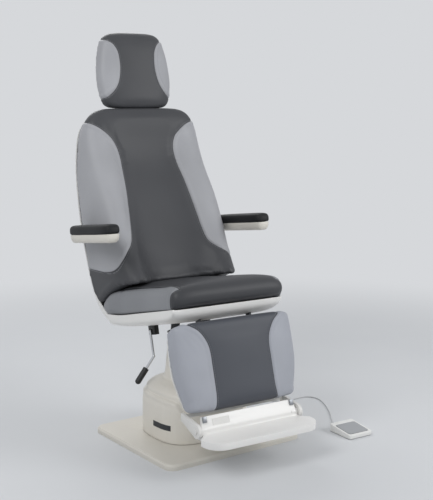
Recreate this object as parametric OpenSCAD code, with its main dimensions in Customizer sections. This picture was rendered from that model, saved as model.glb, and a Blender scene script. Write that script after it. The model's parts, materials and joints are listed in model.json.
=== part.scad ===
// Examination chair for an eye clinic: a tilting bucket seat on a swivelling lift column,
// with a folding footrest, a headrest, two flip-up armrests and a foot switch on a cord.
// The chair faces -Y. The lift and swivel axis is the Z axis, and the floor is z = 0.

/* [Stance] */
// Angle that the base stands turned from the front of the chair at rest
base_turn = 3.5; // [0:0.5:15]

/* [Base plate] */
// Width of the steel floor plate
plate_w = 580; // [500:1:680]
// Depth of the steel floor plate
plate_d = 518; // [450:1:620]
// Thickness of the steel floor plate
plate_t = 20; // [14:1:28]
// Radius of the plate's corners
plate_corner = 38; // [20:1:70]
// Bevel round the plate's top edge
plate_bevel = 6; // [2:0.5:9]

/* [Base covers] */
// Width of the skirt that covers the lift
skirt_w = 364; // [330:1:420]
// From the lift axis to the front of the skirt
skirt_front = 142; // [132:1:170]
// From the lift axis to the back of the skirt
skirt_back = 182; // [165:1:205]
// Height of the skirt above the plate
skirt_h = 204; // [180:1:240]
// Width of the neck at its top
neck_w = 196; // [184:1:220]
// From the lift axis to the front and to the back of the neck
neck_reach = 88; // [84:1:100]
// Height of the neck's top above the plate
neck_h = 340; // [335:1:370]
// Wall of the moulded covers
cover_wall = 4; // [2.5:0.5:6]

/* [Lift column] */
// Outer diameter of the fixed column
column_d = 140; // [130:1:144]
// Wall of the fixed column
column_wall = 6; // [4:0.5:8]
// Height of the fixed column's top below the neck's top
column_drop = 15; // [12:1:25]
// Outer diameter of the moving column
ram_d = 120; // [112:0.5:122]
// Wall of the moving column
ram_wall = 8; // [5:0.5:10]
// Height of the moving column's foot above the plate
ram_foot = 40; // [35:1:60]
// Diameter and thickness of the column's foot flange
flange_d = 212; // [204:1:230]
flange_t = 12; // [8:1:16]
// Bolt circle and bolt diameter of the flange
flange_bolt_circle = 178; // [174:1:184]
flange_bolt_d = 12; // [8:1:14]
// Number of flange bolts
flange_bolts = 6; // [4:1:8]
// Radial running clearance of shafts and bushes
running_gap = 0.05; // [0.02:0.01:0.1]
// Diameter of the lift motor
motor_d = 78; // [60:1:90]
// Diameter of the actuator's tube and of its rod
actuator_d = 48; // [40:1:60]
rod_d = 28; // [20:1:32]

/* [Swivel head] */
// Diameter of the column's head
head_d = 128; // [122:1:132]
// Thickness of the column's head and of the yoke's plate
head_t = 12; // [8:1:14]
// Diameter of the swivel spindle
spindle_d = 50; // [40:1:60]
// Thickness of the thrust washer
washer_t = 4; // [2:0.5:6]
// Distance between the yoke's ears
yoke_gap = 118; // [110:1:120]
// Thickness of each ear
ear_t = 12; // [8:1:14]
// Place of the tilt shaft behind the lift axis
tilt_y = 40; // [30:1:50]
// Height of the tilt shaft above the yoke's plate
tilt_rise = 52.2; // [50.2:0.1:53.2]
// Diameter of the tilt shaft
tilt_shaft_d = 24; // [18:1:28]
// Half width of the head's cover and its reach to front and back
hood_half_w = 98; // [94:1:100]
hood_reach = 86; // [84:1:92]

/* [Brake lever] */
// Diameter of the lever's rod
lever_rod_d = 10; // [8:0.5:12]
// Length of the lever's upright part
lever_drop = 90; // [80:1:100]
// Length of the lever's slanting part with its grip
lever_reach = 117; // [105:1:125]
// Length and diameter of the grip
grip_l = 66; // [50:1:80]
grip_d = 22; // [16:1:26]
// Turn of the slanting part from upright
lever_slant = 38; // [30:1:45]

/* [Seat] */
// Rise of the seat towards its front, degrees
seat_tilt = 13.2; // [8:0.1:16]
// Height of the upholstery line above the tilt shaft, over the lift axis
seat_rise = 47; // [44:1:52]
// Half width of the seat cushion at its front
seat_half_w = 231; // [215:1:245]
// From the lift axis to the cushion's front and back, along the seat
seat_front = 258; // [250:1:265]
seat_back = 286; // [275:1:295]
// Greatest thickness of the seat cushion, where it meets the back
seat_t = 110; // [95:1:115]
// Depth of the moulded pan under the cushion
pan_depth = 50; // [45:1:60]
// Wall of the moulded shell
shell_wall = 5; // [3.5:0.5:6]
// Clearance between upholstery and what it meets
soft_gap = 1; // [0.5:0.1:2]

/* [Back] */
// Greatest half width of the back
back_half_w = 264; // [250:1:270]
// Height of the back from its foot to its top
back_h = 724; // [684:1:764]
// Height of the back's foot below the upholstery line
back_foot_drop = 21; // [15:1:25]
// From the line of the back's top to the front of its foot
back_reach = 300; // [290:1:310]
// Place of that line behind the lift axis
back_line_y = 460; // [450:1:470]
// How far the wings stand forward of the back's middle
wing_reach = 57; // [20:1:62]

/* [Headrest] */
// Half width of the headrest at its widest
headrest_half_w = 155; // [135:1:175]
// Height of the headrest cushion
headrest_h = 288; // [250:1:300]
// Thickness of the headrest cushion
headrest_t = 62; // [50:1:75]
// Height of the headrest's foot above the back's shell
headrest_gap = 11; // [10:1:20]
// Lean of the headrest's posts, degrees
post_lean = 6; // [5:0.5:7]
// Lean of the headrest cushion, degrees
headrest_lean = 10; // [8:1:12]
// Diameter of the posts and distance between them
post_d = 16; // [12:1:18]
post_spread = 110; // [90:1:130]

/* [Armrests] */
// Distance of each armrest's middle from the chair's middle
arm_x = 317; // [314:1:330]
// Length, width and thickness of an armrest pad
arm_l = 328; // [300:1:350]
arm_w = 72; // [60:1:76]
arm_pad_t = 35; // [26:1:42]
// Depth of the moulded body under the pad
arm_body_h = 31; // [28:1:36]
// Rise of the armrests towards their front, degrees
arm_rise = 7; // [4:0.5:9]
// Place of the armrest pivot behind the lift axis and above the upholstery line
arm_pivot_y = 318; // [310:1:325]
arm_pivot_rise = 231; // [218:1:243]
// Diameter of the armrest shaft
arm_shaft_d = 14; // [10:1:16]

/* [Leg rest] */
// Place of the leg rest's hinge in front of the lift axis
leg_hinge_y = 190; // [188:1:192]
// Height of the leg rest's hinge below the upholstery line
leg_hinge_drop = 34; // [32:1:36]
// Lean of the leg rest from upright, degrees
leg_lean = 16; // [12:0.5:20]
// Half width of the leg rest at its widest
leg_half_w = 246; // [228:1:253]
// Length of the leg rest cushion
leg_l = 304; // [285:1:306]
// Thickness of the leg rest cushion
leg_t = 68; // [54:1:74]
// Depth of the moulded tray behind the cushion
leg_tray_t = 18; // [14:1:22]
// Diameter of the leg rest's hinge shaft
leg_shaft_d = 14; // [10:1:16]

/* [Footrest] */
// Half width of the tread between its brackets and in front of them
foot_half_w = 197; // [186:1:199]
tread_half_w = 222; // [206:1:231]
// From the footrest's pivot to the front of the tread
tread_d = 126; // [114:1:139]
// Radius of the tread's front corners
tread_corner = 62; // [40:1:75]
// Height of the panel behind the tread, and its lean in degrees
foot_panel_h = 58; // [45:1:64]
foot_panel_lean = 19; // [14:1:24]
// Thickness of the tread
tread_t = 22; // [16:1:26]
// Place of the footrest's pivot in front of the lift axis and below the upholstery line
foot_pivot_y = 342; // [338:1:346]
foot_pivot_drop = 337; // [334:1:340]
// Diameter of the footrest's pivot pins
foot_pin_d = 10; // [7:0.5:12]
// Thickness of the brackets that hold the footrest
bracket_t = 11; // [8:0.5:12]

/* [Foot switch] */
// Width, depth and height of the foot switch
switch_w = 108; // [95:1:120]
switch_d = 120; // [105:1:135]
switch_h = 28; // [24:1:34]
// Height of the foot switch at its front
switch_front_h = 14; // [12:1:18]
// Place of the foot switch's middle
switch_x = 492; // [480:1:505]
switch_y = -297; // [-305:1:-290]

/* [Cord] */
// Diameter of the foot switch's cord
cord_d = 5; // [4:0.1:5]
// Inner radius of the coil's turns
coil_in = 20; // [20:0.5:21]
// Number of turns in each of the coil's two layers
coil_turns = 3; // [2:1:3]

/* [Hidden] */
$fn = 72;

// Overrun of every cut past the face that it opens
cut = 1;
// Clearance between the flat faces of pieces that are bolted together
seat_clearance = 0.1;

// Heights that the base stacks up to
plate_top = plate_t;
neck_top = plate_top + neck_h;
column_h = neck_h - column_drop;
column_top = plate_top + column_h;
ram_bottom = plate_top + ram_foot;
head_bottom = neck_top - 2 * seat_clearance;
head_top = head_bottom + head_t;
washer_top = head_top + washer_t;
yoke_top = washer_top + head_t;
tilt_z = yoke_top + tilt_rise;
seat_line_z = tilt_z + seat_rise;
column_r = column_d / 2;
column_bore_r = column_r - column_wall;
ram_r = ram_d / 2;
bush_h = 38;
motor_h = 50;
tube_bottom = plate_top + flange_t + motor_h;
tube_top = column_top - seat_clearance;
rod_foot = 75;
rod_bottom = plate_top + rod_foot;
spindle_l = 42;
nut_h = 9;
nut_d = 62;
bolt_head_t = 8;
bolt_head_share = 1.7;
bolt_depth = 14;

// The skirt's outline at rising heights: height, width, front and back as shares
skirt_shares = [[0, 1, 1, 1], [0.35, 1, 1, 1], [0.6, 0.997, 0.99, 0.995],
    [0.74, 0.975, 0.96, 0.965], [0.85, 0.91, 0.88, 0.89], [0.93, 0.8, 0.77, 0.78],
    [0.98, 0.68, 0.66, 0.65], [1, 0.6, 0.6, 0.56]];
// The neck's outline, with the spine that runs down its front: height as a share of the
// neck, then width, front and back as shares of the neck at its top
neck_shares = [[0, 0.78, 1.7, 0.5], [0.12, 1.02, 1.68, 0.6], [0.33, 1.4, 1.6, 0.8],
    [0.45, 1.5, 1.5, 1], [0.53, 1.34, 1.42, 1.1], [0.6, 1.13, 1.34, 1.1],
    [0.68, 1.07, 1.24, 1.07], [0.8, 1.035, 1.12, 1.03], [0.92, 1, 1, 1],
    [0.97, 0.97, 0.96, 0.96], [1, 0.88, 0.86, 0.86]];
skirt_squareness = 2.9;
neck_squareness = 3.4;
neck_hole_d = 136;
box_w = 60;
box_d = 34;
box_h = 90;
box_y = 122;
box_x = 40;
inlet_w = 48;
inlet_h = 28;
inlet_t = 12;
inlet_x = -45;
inlet_z = 60;
gland_x = 62;
gland_z = 44;
gland_sunk = 6;
gland_y = skirt_back - gland_sunk;
gland_l = 22;
gland_d = 13;

// The head cover's outline: height, width and reach as shares
hood_shares = [[0, 0.84, 0.86], [0.4, 0.9, 0.92], [0.8, 0.98, 0.985], [1, 1, 1]];
hood_squareness = 3.6;
hood_gap = 4;
hood_wall = 3;
hood_foot = neck_top + hood_gap;
hood_top = yoke_top + seat_clearance + hood_wall;
yoke_plate_half_w = 80;
yoke_plate_reach = 74;
yoke_corner = 46;
spindle_running_d = spindle_d + 2 * running_gap;
ear_r = 19;
ear_foot = 56;
lug_gap = 1.5;
lug_t = 8;
tilt_shaft_past = 2;
tilt_shaft_l = yoke_gap + 2 * (ear_t + lug_gap + lug_t + tilt_shaft_past);

// The seat's frame, in the seat's own slope: v runs back and w runs up from the line where
// the upholstery meets the shell
function seat_point(v, w) = [v * cos(seat_tilt) + w * sin(seat_tilt),
    seat_line_z - v * sin(seat_tilt) + w * cos(seat_tilt)];
function seat_slope(y, z) = [y * cos(seat_tilt) - (z - seat_line_z) * sin(seat_tilt),
    y * sin(seat_tilt) + (z - seat_line_z) * cos(seat_tilt)];
tilt_place = seat_slope(tilt_y, tilt_z);
leg_hinge_z = seat_line_z - leg_hinge_drop;
leg_place = seat_slope(-leg_hinge_y, leg_hinge_z);
frame_t = 6;
frame_half_w = 120;
frame_front = 200;
frame_back = 232;
board_t = 10;
board_inset = 14;
board_back = 148;
board_corner = 40;
upright_x = 86;
upright_w = 30;
upright_t = 8;
upright_top = 3;
leg_lug_r = 12;
leg_lug_x = 104;
leg_bar_x = 88;
leg_bar_w = 20;
leg_bar_t = 6;
pan_front = 224;
pan_back = 245;
pan_l = pan_front + pan_back;
hole_half_w = 112;
hole_front = 16;
hole_back = 214;
hole_corner = 20;

// The moulded shell of the back from its top to its foot: height and forward place of its
// edge, height and forward place of its deepest line, half width, squareness
back_foot = seat_line_z - back_foot_drop;
back_top = back_foot + back_h;
back_shell_shares = [[0.99, 0.03, 0.995, 0.01, 0.57, 2.4], [0.97, 0.01, 0.98, -0.05, 0.72, 2.5],
    [0.93, 0.004, 0.94, -0.1, 0.85, 2.6], [0.875, 0.008, 0.875, -0.13, 0.935, 2.7],
    [0.79, 0.012, 0.79, -0.15, 0.97, 2.8], [0.68, 0.025, 0.68, -0.135, 0.99, 2.8],
    [0.56, 0.1, 0.56, -0.07, 1.01, 2.8], [0.44, 0.18, 0.44, 0, 1.02, 2.8],
    [0.31, 0.265, 0.31, 0.08, 1.01, 2.8], [0.2, 0.315, 0.2, 0.135, 0.98, 2.9],
    [0.11, 0.355, 0.11, 0.195, 0.95, 3], [0.05, 0.44, 0, 0.315, 0.935, 3.4],
    [0, 0.58, -0.07, 0.51, 0.925, 4]];
// The pan from its back to its front: place along the seat and height of its edge, place
// and depth of its deepest line, half width, squareness
pan_shares = [[1, 0.17, 0.995, -0.9, 1.045, 4.5], [0.8, 0, 0.79, -1, 1.04, 5],
    [0.56, 0, 0.56, -1.02, 1.035, 5], [0.31, 0, 0.31, -1.02, 1.02, 5],
    [0.12, 0, 0.125, -1, 1.005, 5], [0.045, 0, 0.055, -0.8, 0.99, 5],
    [0.012, 0, 0.014, -0.5, 0.98, 5], [0, 0, 0, -0.16, 0.975, 5]];
// The back cushion from its top to its foot: height and forward place of its back, height
// and forward place of its front, half width, reach of the wings
back_pad_shares = [[0.99, 0.032, 1, 0.055, 0.57, 0], [0.97, 0.012, 1.007, 0.155, 0.71, 0],
    [0.93, 0.006, 0.99, 0.205, 0.835, 0.1], [0.875, 0.01, 0.915, 0.235, 0.92, 0.35],
    [0.79, 0.015, 0.82, 0.255, 0.955, 0.6], [0.68, 0.029, 0.7, 0.34, 0.98, 1],
    [0.56, 0.103, 0.57, 0.505, 1, 1.5], [0.44, 0.183, 0.442, 0.66, 1.008, 1.7],
    [0.31, 0.268, 0.312, 0.825, 0.995, 1.8], [0.2, 0.318, 0.213, 0.945, 0.972, 2],
    [0.11, 0.359, 0.148, 1.03, 0.945, 2.3], [0.05, 0.443, 0.13, 0.94, 0.93, 1.9],
    [0.02, 0.542, 0.068, 0.69, 0.918, 0.7]];
// The seat cushion from its front to its back: place and height of its underside, place
// and height of its top, half width
seat_pad_shares = [[0.066, 0, 0.015, 0.11, 0.86], [0.072, 0, 0, 0.31, 0.95],
    [0.083, 0, 0.011, 0.56, 0.985], [0.107, 0, 0.048, 0.73, 0.995], [0.17, 0, 0.125, 0.81, 1],
    [0.31, 0, 0.29, 0.85, 1], [0.475, 0, 0.483, 0.89, 1], [0.64, 0, 0.63, 0.955, 1.005],
    [0.78, 0, 0.713, 1, 1.01], [0.88, 0.02, 0.796, 0.93, 1.015], [0.93, 0.11, 0.882, 0.78, 1.01],
    [0.963, 0.25, 0.943, 0.58, 0.995], [0.98, 0.38, 0.974, 0.45, 0.98]];
// The leg cushion from its top to its foot, in the same way
leg_pad_shares = [[0.083, 0, 0.033, 0.23, 0.93], [0.086, 0, 0.003, 0.6, 0.97],
    [0.096, 0, 0.02, 0.9, 0.985], [0.138, 0, 0.1, 1, 0.99], [0.276, 0, 0.263, 1, 1],
    [0.44, 0, 0.44, 1, 1], [0.59, 0, 0.59, 1, 0.99], [0.745, 0, 0.75, 1, 0.95],
    [0.87, 0, 0.885, 1, 0.905], [0.928, 0, 0.955, 0.97, 0.895], [0.951, 0, 0.99, 0.8, 0.885],
    [0.96, 0, 1, 0.5, 0.87], [0.967, 0, 0.985, 0.2, 0.845]];
// The tray behind it from its top to its foot: place and height of its edge, place and
// depth of its deepest line, half width, squareness
leg_tray_shares = [[0.16, 0, 0.16, -0.25, 0.965, 5], [0.165, 0, 0.17, -0.8, 0.98, 5],
    [0.19, 0, 0.2, -1, 0.985, 5], [0.44, 0, 0.44, -1, 0.995, 5], [0.59, 0, 0.59, -1, 0.985, 5],
    [0.745, 0, 0.745, -1, 0.945, 5], [0.87, 0, 0.865, -1, 0.9, 5],
    [0.93, 0, 0.92, -0.8, 0.885, 5], [0.945, 0, 0.945, -0.25, 0.87, 5]];
// The headrest's cushion and shell from foot to top, in the same ways
headrest_pad_shares = [[0.03, 0, 0.012, 0.25, 0.62], [0.035, 0, 0, 0.6, 0.76],
    [0.06, 0, 0.045, 0.9, 0.87], [0.16, 0, 0.15, 1, 0.94], [0.34, 0, 0.34, 1, 1],
    [0.52, 0, 0.52, 1, 0.985], [0.7, 0, 0.7, 1, 0.94], [0.86, 0, 0.85, 0.98, 0.86],
    [0.94, 0, 0.945, 0.85, 0.77], [0.965, 0, 1, 0.55, 0.68], [0.97, 0, 0.99, 0.22, 0.55]];
headrest_shell_shares = [[0.035, 0, 0.04, -0.2, 0.6, 2.8], [0.045, 0, 0.06, -0.65, 0.76, 2.8],
    [0.08, 0, 0.11, -0.95, 0.87, 2.8], [0.2, 0, 0.22, -1, 0.95, 2.8], [0.36, 0, 0.36, -1, 0.99, 2.8],
    [0.54, 0, 0.54, -1, 0.975, 2.8], [0.7, 0, 0.7, -1, 0.93, 2.8], [0.86, 0, 0.84, -0.95, 0.85, 2.8],
    [0.93, 0, 0.92, -0.65, 0.74, 2.8], [0.955, 0, 0.95, -0.2, 0.6, 2.8]];
pad_squareness = 4.5;
seat_squareness = 5.5;
edge_share = 0.06;
headrest_squareness = 3.2;
wing_start_share = 0.35;
wing_full_share = 0.8;

// The headrest's posts stand this far behind the lift axis where they leave the back
post_y = 485;
post_below = 200;
post_hole_gap = 1;
guide_l = 80;
guide_drop = 66;
post_above = 92;
guide_wall = 2;
guide_plate_t = 8;
guide_plate_h = 40;
headrest_shell_t = 38;
headrest_bar_d = 18;
headrest_bar_up = 96;
headrest_bar_back = 14;
headrest_foot_y = 462;
bearing_d = 26;
bearing_l = 16;
bearing_x = 25;
bearing_foot = shell_wall - headrest_shell_t - seat_clearance;
post_block = 22;
post_slot = 30;
back_edge_drop = 7.24;
headrest_foot_z = back_top - back_edge_drop + headrest_gap;

arm_rear = 25;
arm_body_floor = -13;
arm_squareness = 4.5;
arm_body_shares = [[0, 0.6, 0.9], [0.12, 0.78, 0.94], [0.4, 0.92, 0.975], [0.75, 0.96, 0.985],
    [1, 0.96, 0.985]];
arm_pad_shares = [[0, 0.94, 0.97], [0.12, 0.985, 0.995], [0.35, 1, 1], [0.6, 0.99, 0.995],
    [0.82, 0.92, 0.975], [0.95, 0.74, 0.92], [1, 0.5, 0.8]];
arm_plate_t = 8;
arm_plate_gap = 5.5;
arm_plate_r = 16;
arm_collar_d = 26;
arm_stud_y = 412;
arm_stud_up = 10;
arm_pivot_z = seat_line_z + arm_pivot_rise;
arm_stud_z = arm_pivot_z + arm_stud_up;
arm_stud_in = 26;
arm_collar_gap = 0.5;

// The brake's block under the pan and the lever that turns in it
brake_w = 18;
brake_l = 46;
brake_h = 34;
brake_gap = 1.5;
brake_side_gap = 4;
lever_y = 96;
lever_under = 95;
lever_z = seat_line_z - lever_under;
lever_forward = 25;
lever_gap = 0.8;
elbow_share = 1.1;
brake_x = -hole_half_w - brake_w / 2 - brake_side_gap;
lever_x = brake_x - brake_w / 2 - lever_rod_d / 2 - lever_gap;

// Parts of the leg rest and the footrest
leg_top_up = 14;
leg_line_y = -200;
leg_line_drop = 19;
leg_line_z = seat_line_z - leg_line_drop;
foot_pivot_z = seat_line_z - foot_pivot_drop;
leg_tray_wall = 4;
leg_foot_v = 288;
cross_h = 14;
bracket_x = 206;
bracket_r = 24;
bracket_rear = 96;
bracket_rise = 38.4;
foot_gap = 1.5;
foot_boss_d = 24;
foot_boss_l = 26;
foot_panel_t = 12;
foot_panel_front = 11;
foot_panel_taper = 12;
tread_drop = 10;
tread_shoulder = 26;
latch_w = 16;
latch_h = 20;
latch_t = 4;
latch_x = 178;

// Parts of the foot switch
switch_corner = 9;
rocker_gap = 1;
rocker_d = 84;
rocker_t = 6;
rocker_front = 12;
rocker_pin_d = 4;
rocker_y = rocker_front + (rocker_d - switch_d) / 2;
switch_foot_d = 14;
switch_foot_t = 2;
switch_gland_z = 12;

// Route from the base's gland over the plate to the coil, and from the coil to the switch
base_route = [[49.6, 204.7, 44], [49.4, 210, 43.2], [49.2, 216, 40.6], [49, 223, 35.8],
    [49, 231, 29.5], [50, 241, 24.2], [52, 252, 22.8], [54, 262, 21], [56, 270, 15],
    [59, 278, 8], [64, 286, 4], [72, 293, 2.5],
    [86, 300, 2.5], [106, 305, 2.5], [132, 307, 2.5], [160, 305, 2.5], [188, 301, 2.5],
    [214, 297, 2.5], [238, 296, 2.5], [260, 300, 2.5], [276, 309, 3], [286, 322, 4.5],
    [290, 335, 6.8]];
switch_route = [[370, 336, 2.5], [370, 322, 2.5], [374, 300, 2.5], [384, 274, 2.5],
    [400, 246, 2.5], [420, 218, 2.5], [444, 192, 2.5], [472, 170, 2.5], [502, 154, 2.5],
    [532, 146, 2.5], [560, 144, 2.5], [586, 147, 2.5], [608, 146, 2.5], [626, 139, 2.5],
    [640, 124, 2.5], [646, 102, 2.5], [644, 76, 2.5], [634, 46, 2.5], [616, 4, 2.5],
    [592, -42, 2.5], [566, -86, 2.5], [542, -122, 2.5], [520, -154, 2.5], [506, -176, 3],
    [497, -191, 5.6], [492.8, -201.5, 10.2], [492, -207.5, 12], [492, -211.5, 12]];
// The coil lies on the floor behind the base's right corner
coil_x = 330;
coil_y = 352;
coil_turn_gap = 1.5;
coil_layer_gap = 0.5;
coil_pitch = cord_d + coil_turn_gap;
coil_layer = cord_d + coil_layer_gap;
coil_out = coil_in + coil_turns * coil_pitch;
coil_sides = 6;
coil_rings = 24;
cord_sides = 8;
cord_steps = 2;
cord_r = cord_d / 2;

// Row of a table at a place between its rows, on a smooth curve through them
function row_at(table, t) = let (i = min(floor(t), len(table) - 2), f = t - i, a = table[i],
    b = table[i + 1], sa = (b - table[max(0, i - 1)]) / 2,
    sb = (table[min(len(table) - 1, i + 2)] - a) / 2)
    a * (2 * f * f * f - 3 * f * f + 1) + sa * (f * f * f - 2 * f * f + f)
    + b * (3 * f * f - 2 * f * f * f) + sb * (f * f * f - f * f);
function finer(table) = [for (i = [0:2 * len(table) - 2]) row_at(table, i / 2)];
function rounded(v, n) = sign(v) * pow(abs(v), 2 / n);
function ramp(x) = let (t = min(1, max(0, x))) t * t * (3 - 2 * t);

// Points across one section: a base point and a crown point in Y and Z, joined by a
// squared-off arch of the given half width, whose wings reach on past the crown
function arch(base, crown, half_w, n, cols, wing = 0, least = 0) =
    let (reach = norm(crown - base), ahead = (crown - base) / reach)
    [for (c = [0:cols]) let (a = 90 * (2 * c / cols - 1), x = rounded(sin(a), n),
        lift = max(least, rounded(cos(a), n)),
        far = reach + wing * ramp((abs(x) - wing_start_share) / (wing_full_share - wing_start_share)),
        p = base + ahead * far * lift) [half_w * x, p[0], p[1]]];
function flat_row(base, half_w, n, cols) = [for (c = [0:cols])
    [half_w * rounded(sin(90 * (2 * c / cols - 1)), n), base[0], base[1]]];

// Closed solid between two sheets of points that have the same rows and columns
module between_sheets(outer, inner) {
    rows = len(outer);
    cols = len(outer[0]);
    half = rows * cols;
    edge = concat([for (c = [0:cols - 2]) c], [for (r = [0:rows - 2]) r * cols + cols - 1],
        [for (c = [cols - 1:-1:1]) (rows - 1) * cols + c], [for (r = [rows - 1:-1:1]) r * cols]);
    r0 = floor(rows / 2);
    c0 = floor(cols / 2);
    facing = cross(outer[r0][c0 + 1] - outer[r0][c0], outer[r0 + 1][c0] - outer[r0][c0])
        * (outer[r0][c0] - inner[r0][c0]);
    faces = concat(
        [for (r = [0:rows - 2], c = [0:cols - 2]) let (a = r * cols + c) each
            [[a, a + 1, a + cols + 1], [a, a + cols + 1, a + cols]]],
        [for (r = [0:rows - 2], c = [0:cols - 2]) let (a = half + r * cols + c) each
            [[a, a + cols + 1, a + 1], [a, a + cols, a + cols + 1]]],
        [for (i = [0:len(edge) - 1]) let (a = edge[i], b = edge[(i + 1) % len(edge)]) each
            [[a, a + half, b + half], [a, b + half, b]]]);
    polyhedron(concat([for (row = outer) each row], [for (row = inner) each row]),
        facing > 0 ? [for (f = faces) [f[2], f[1], f[0]]] : faces);
}

// Moulded shell through stations of [edge y, edge z, deep y, deep z, half width, squareness]
module shell_form(stations, wall, cols) {
    fine = finer(stations);
    between_sheets(
        [for (s = fine) arch([s[0], s[1]], [s[2], s[3]], s[4], s[5], cols)],
        [for (s = fine) let (e = [s[0], s[1]], d = [s[2], s[3]],
            kept = max(1 / 8, 1 - wall / norm(d - e)))
            arch(e, e + (d - e) * kept, s[4] - wall, s[5], cols)]);
}

// Cushion through rows of [base y, base z, crown y, crown z, half width, wing]
module pad_form(rows, n, cols) {
    fine = finer(rows);
    between_sheets(
        [for (s = fine) flat_row([s[0], s[1]], s[4], n, cols)],
        [for (s = fine) arch([s[0], s[1]], [s[2], s[3]], s[4], n, cols, s[5],
            edge_share)]);
}

// Closed solid through a stack of rings that have the same number of points
module stacked(rings) {
    n = len(rings[0]);
    m = len(rings);
    polyhedron([for (ring = rings) each ring], concat([[for (i = [0:n - 1]) i]],
        [for (r = [0:m - 2], i = [0:n - 1]) let (a = r * n + i, b = r * n + (i + 1) % n) each
            [[a, a + n, b + n], [a, b + n, b]]],
        [[for (i = [n - 1:-1:0]) (m - 1) * n + i]]));
}

// One level ring of a cover: a squared-off oval with its own front and back
function oval(half_w, front, back, z, n, points) = [for (i = [0:points - 1])
    let (a = 360 * i / points) [half_w * rounded(cos(a), n),
        (sin(a) < 0 ? front : back) * rounded(sin(a), n), z]];

module based() rotate([0, 0, base_turn]) children();
module seated() translate([0, 0, seat_line_z]) rotate([-seat_tilt, 0, 0]) children();
module both_sides() for (side = [-1, 1]) scale_x(side) children();
module scale_x(side) mirror([side < 0 ? 1 : 0, 0, 0]) children();

// Bar of the given thickness across X, from a profile drawn in Y and Z
module bar(x, t) translate([x - t / 2, 0, 0]) rotate([90, 0, 90]) linear_extrude(t) children();
module pin(x, y, z, l, d) translate([x - l / 2, y, z]) rotate([0, 90, 0]) cylinder(h = l, d = d);

// Turns what stands upright so that it runs from one point towards another
module aimed(a, b) {
    way = b - a;
    translate(a) rotate([0, acos(way[2] / norm(way)), atan2(way[1], way[0])]) children();
}
module rod(a, b, d) aimed(a, b) cylinder(h = norm(b - a), d = d);

module rounded_square(w, d, r) {
    square([w - 2 * r, d], center = true);
    square([w, d - 2 * r], center = true);
    for (x = [-1, 1], y = [-1, 1]) translate([x * (w / 2 - r), y * (d / 2 - r)]) circle(r);
}

// Plate profile with round ends at two places
module link_profile(a, b, r) {
    way = (b - a) / norm(b - a) * r;
    translate(a) circle(r);
    translate(b) circle(r);
    polygon([a + [way[1], -way[0]], b + [way[1], -way[0]], b + [-way[1], way[0]],
        a + [-way[1], way[0]]]);
}

// Lug profile: round end at a place, straight up to a level
module lug_profile(place, r, level) {
    translate(place) circle(r);
    translate([place[0] - r, place[1]]) square([2 * r, level - place[1]]);
}

module bolt_circle() for (i = [0:flange_bolts - 1])
    rotate([0, 0, 360 * (i + 0.5) / flange_bolts]) translate([flange_bolt_circle / 2, 0, 0])
        children();

module ring(z, h, outer, inner) translate([0, 0, z]) difference() {
    cylinder(h = h, r = outer);
    translate([0, 0, -cut]) cylinder(h = h + 2 * cut, r = inner);
}

// Base and lift

module base_plate() color("#d0cdc6") based() difference() {
    union() {
        linear_extrude(plate_t - plate_bevel) rounded_square(plate_w, plate_d, plate_corner);
        translate([0, 0, plate_t - plate_bevel]) hull()
            for (x = [-1, 1], y = [-1, 1])
                translate([x * (plate_w / 2 - plate_corner), y * (plate_d / 2 - plate_corner), 0])
                    cylinder(h = plate_bevel, r1 = plate_corner, r2 = plate_corner - plate_bevel,
                        $fn = 48);
    }
    translate([0, 0, plate_t - bolt_depth]) bolt_circle()
        cylinder(h = bolt_depth + cut, d = flange_bolt_d + 2 * running_gap);
}

// Each cover form shrinks by the wall on all sides, and opens past the plate at its foot
function level_of(share, height, inset) = plate_top + height * share
    - (share > 0 ? inset * share : inset);
module skirt_form(inset, points) stacked([for (s = skirt_shares)
    oval(skirt_w / 2 * s[1] - inset, skirt_front * s[2] - inset, skirt_back * s[3] - inset,
        level_of(s[0], skirt_h, inset), skirt_squareness, points)]);
module neck_form(inset, points) stacked([for (s = neck_shares)
    oval(neck_w / 2 * s[1] - inset, neck_reach * s[2] - inset, neck_reach * s[3] - inset,
        level_of(s[0], neck_h, inset), neck_squareness, points)]);

module base_cover() color("#e2dfd8") based() difference() {
    union() {
        skirt_form(0, 40);
        neck_form(0, 36);
    }
    skirt_form(cover_wall, 20);
    neck_form(cover_wall, 20);
    translate([0, 0, neck_top - head_t]) cylinder(h = 2 * head_t, d = neck_hole_d);
    translate([inlet_x, skirt_back, inlet_z]) rotate([90, 0, 0])
        linear_extrude(3 * inlet_t, center = true)
            rounded_square(inlet_w + 2 * seat_clearance, inlet_h + 2 * seat_clearance, cover_wall);
    translate([gland_x, skirt_back, gland_z]) rotate([90, 0, 0])
        cylinder(h = 2 * gland_l, d = gland_d + 2 * seat_clearance, center = true);
}

module fixed_column() color("#8b8d90") based() difference() {
    translate([0, 0, plate_top]) {
        cylinder(h = flange_t, d = flange_d);
        cylinder(h = column_h, d = column_d);
    }
    translate([0, 0, plate_top + flange_t]) cylinder(h = column_h, r = column_bore_r);
    translate([0, 0, plate_top - cut]) bolt_circle()
        cylinder(h = flange_t + 2 * cut, d = flange_bolt_d + 2 * running_gap);
}

module flange_bolts_set() color("#77797c") based() bolt_circle() {
    translate([0, 0, plate_top - bolt_depth + seat_clearance])
        cylinder(h = bolt_depth + flange_t, d = flange_bolt_d);
    translate([0, 0, plate_top + flange_t])
        cylinder(h = bolt_head_t, d = flange_bolt_d * bolt_head_share, $fn = 6);
}

module upper_bush() color("#3c3e40")
    ring(column_top - bush_h, bush_h, column_bore_r, ram_r + running_gap);
module lower_bush() color("#3c3e40")
    ring(ram_bottom, bush_h, column_bore_r - running_gap, ram_r);
module moving_column() color("#c9cbce")
    ring(ram_bottom, head_bottom - ram_bottom, ram_r, ram_r - ram_wall);

module lift_motor() color("#55585b")
    translate([0, 0, plate_top + flange_t]) cylinder(h = motor_h, d = motor_d);

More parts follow.
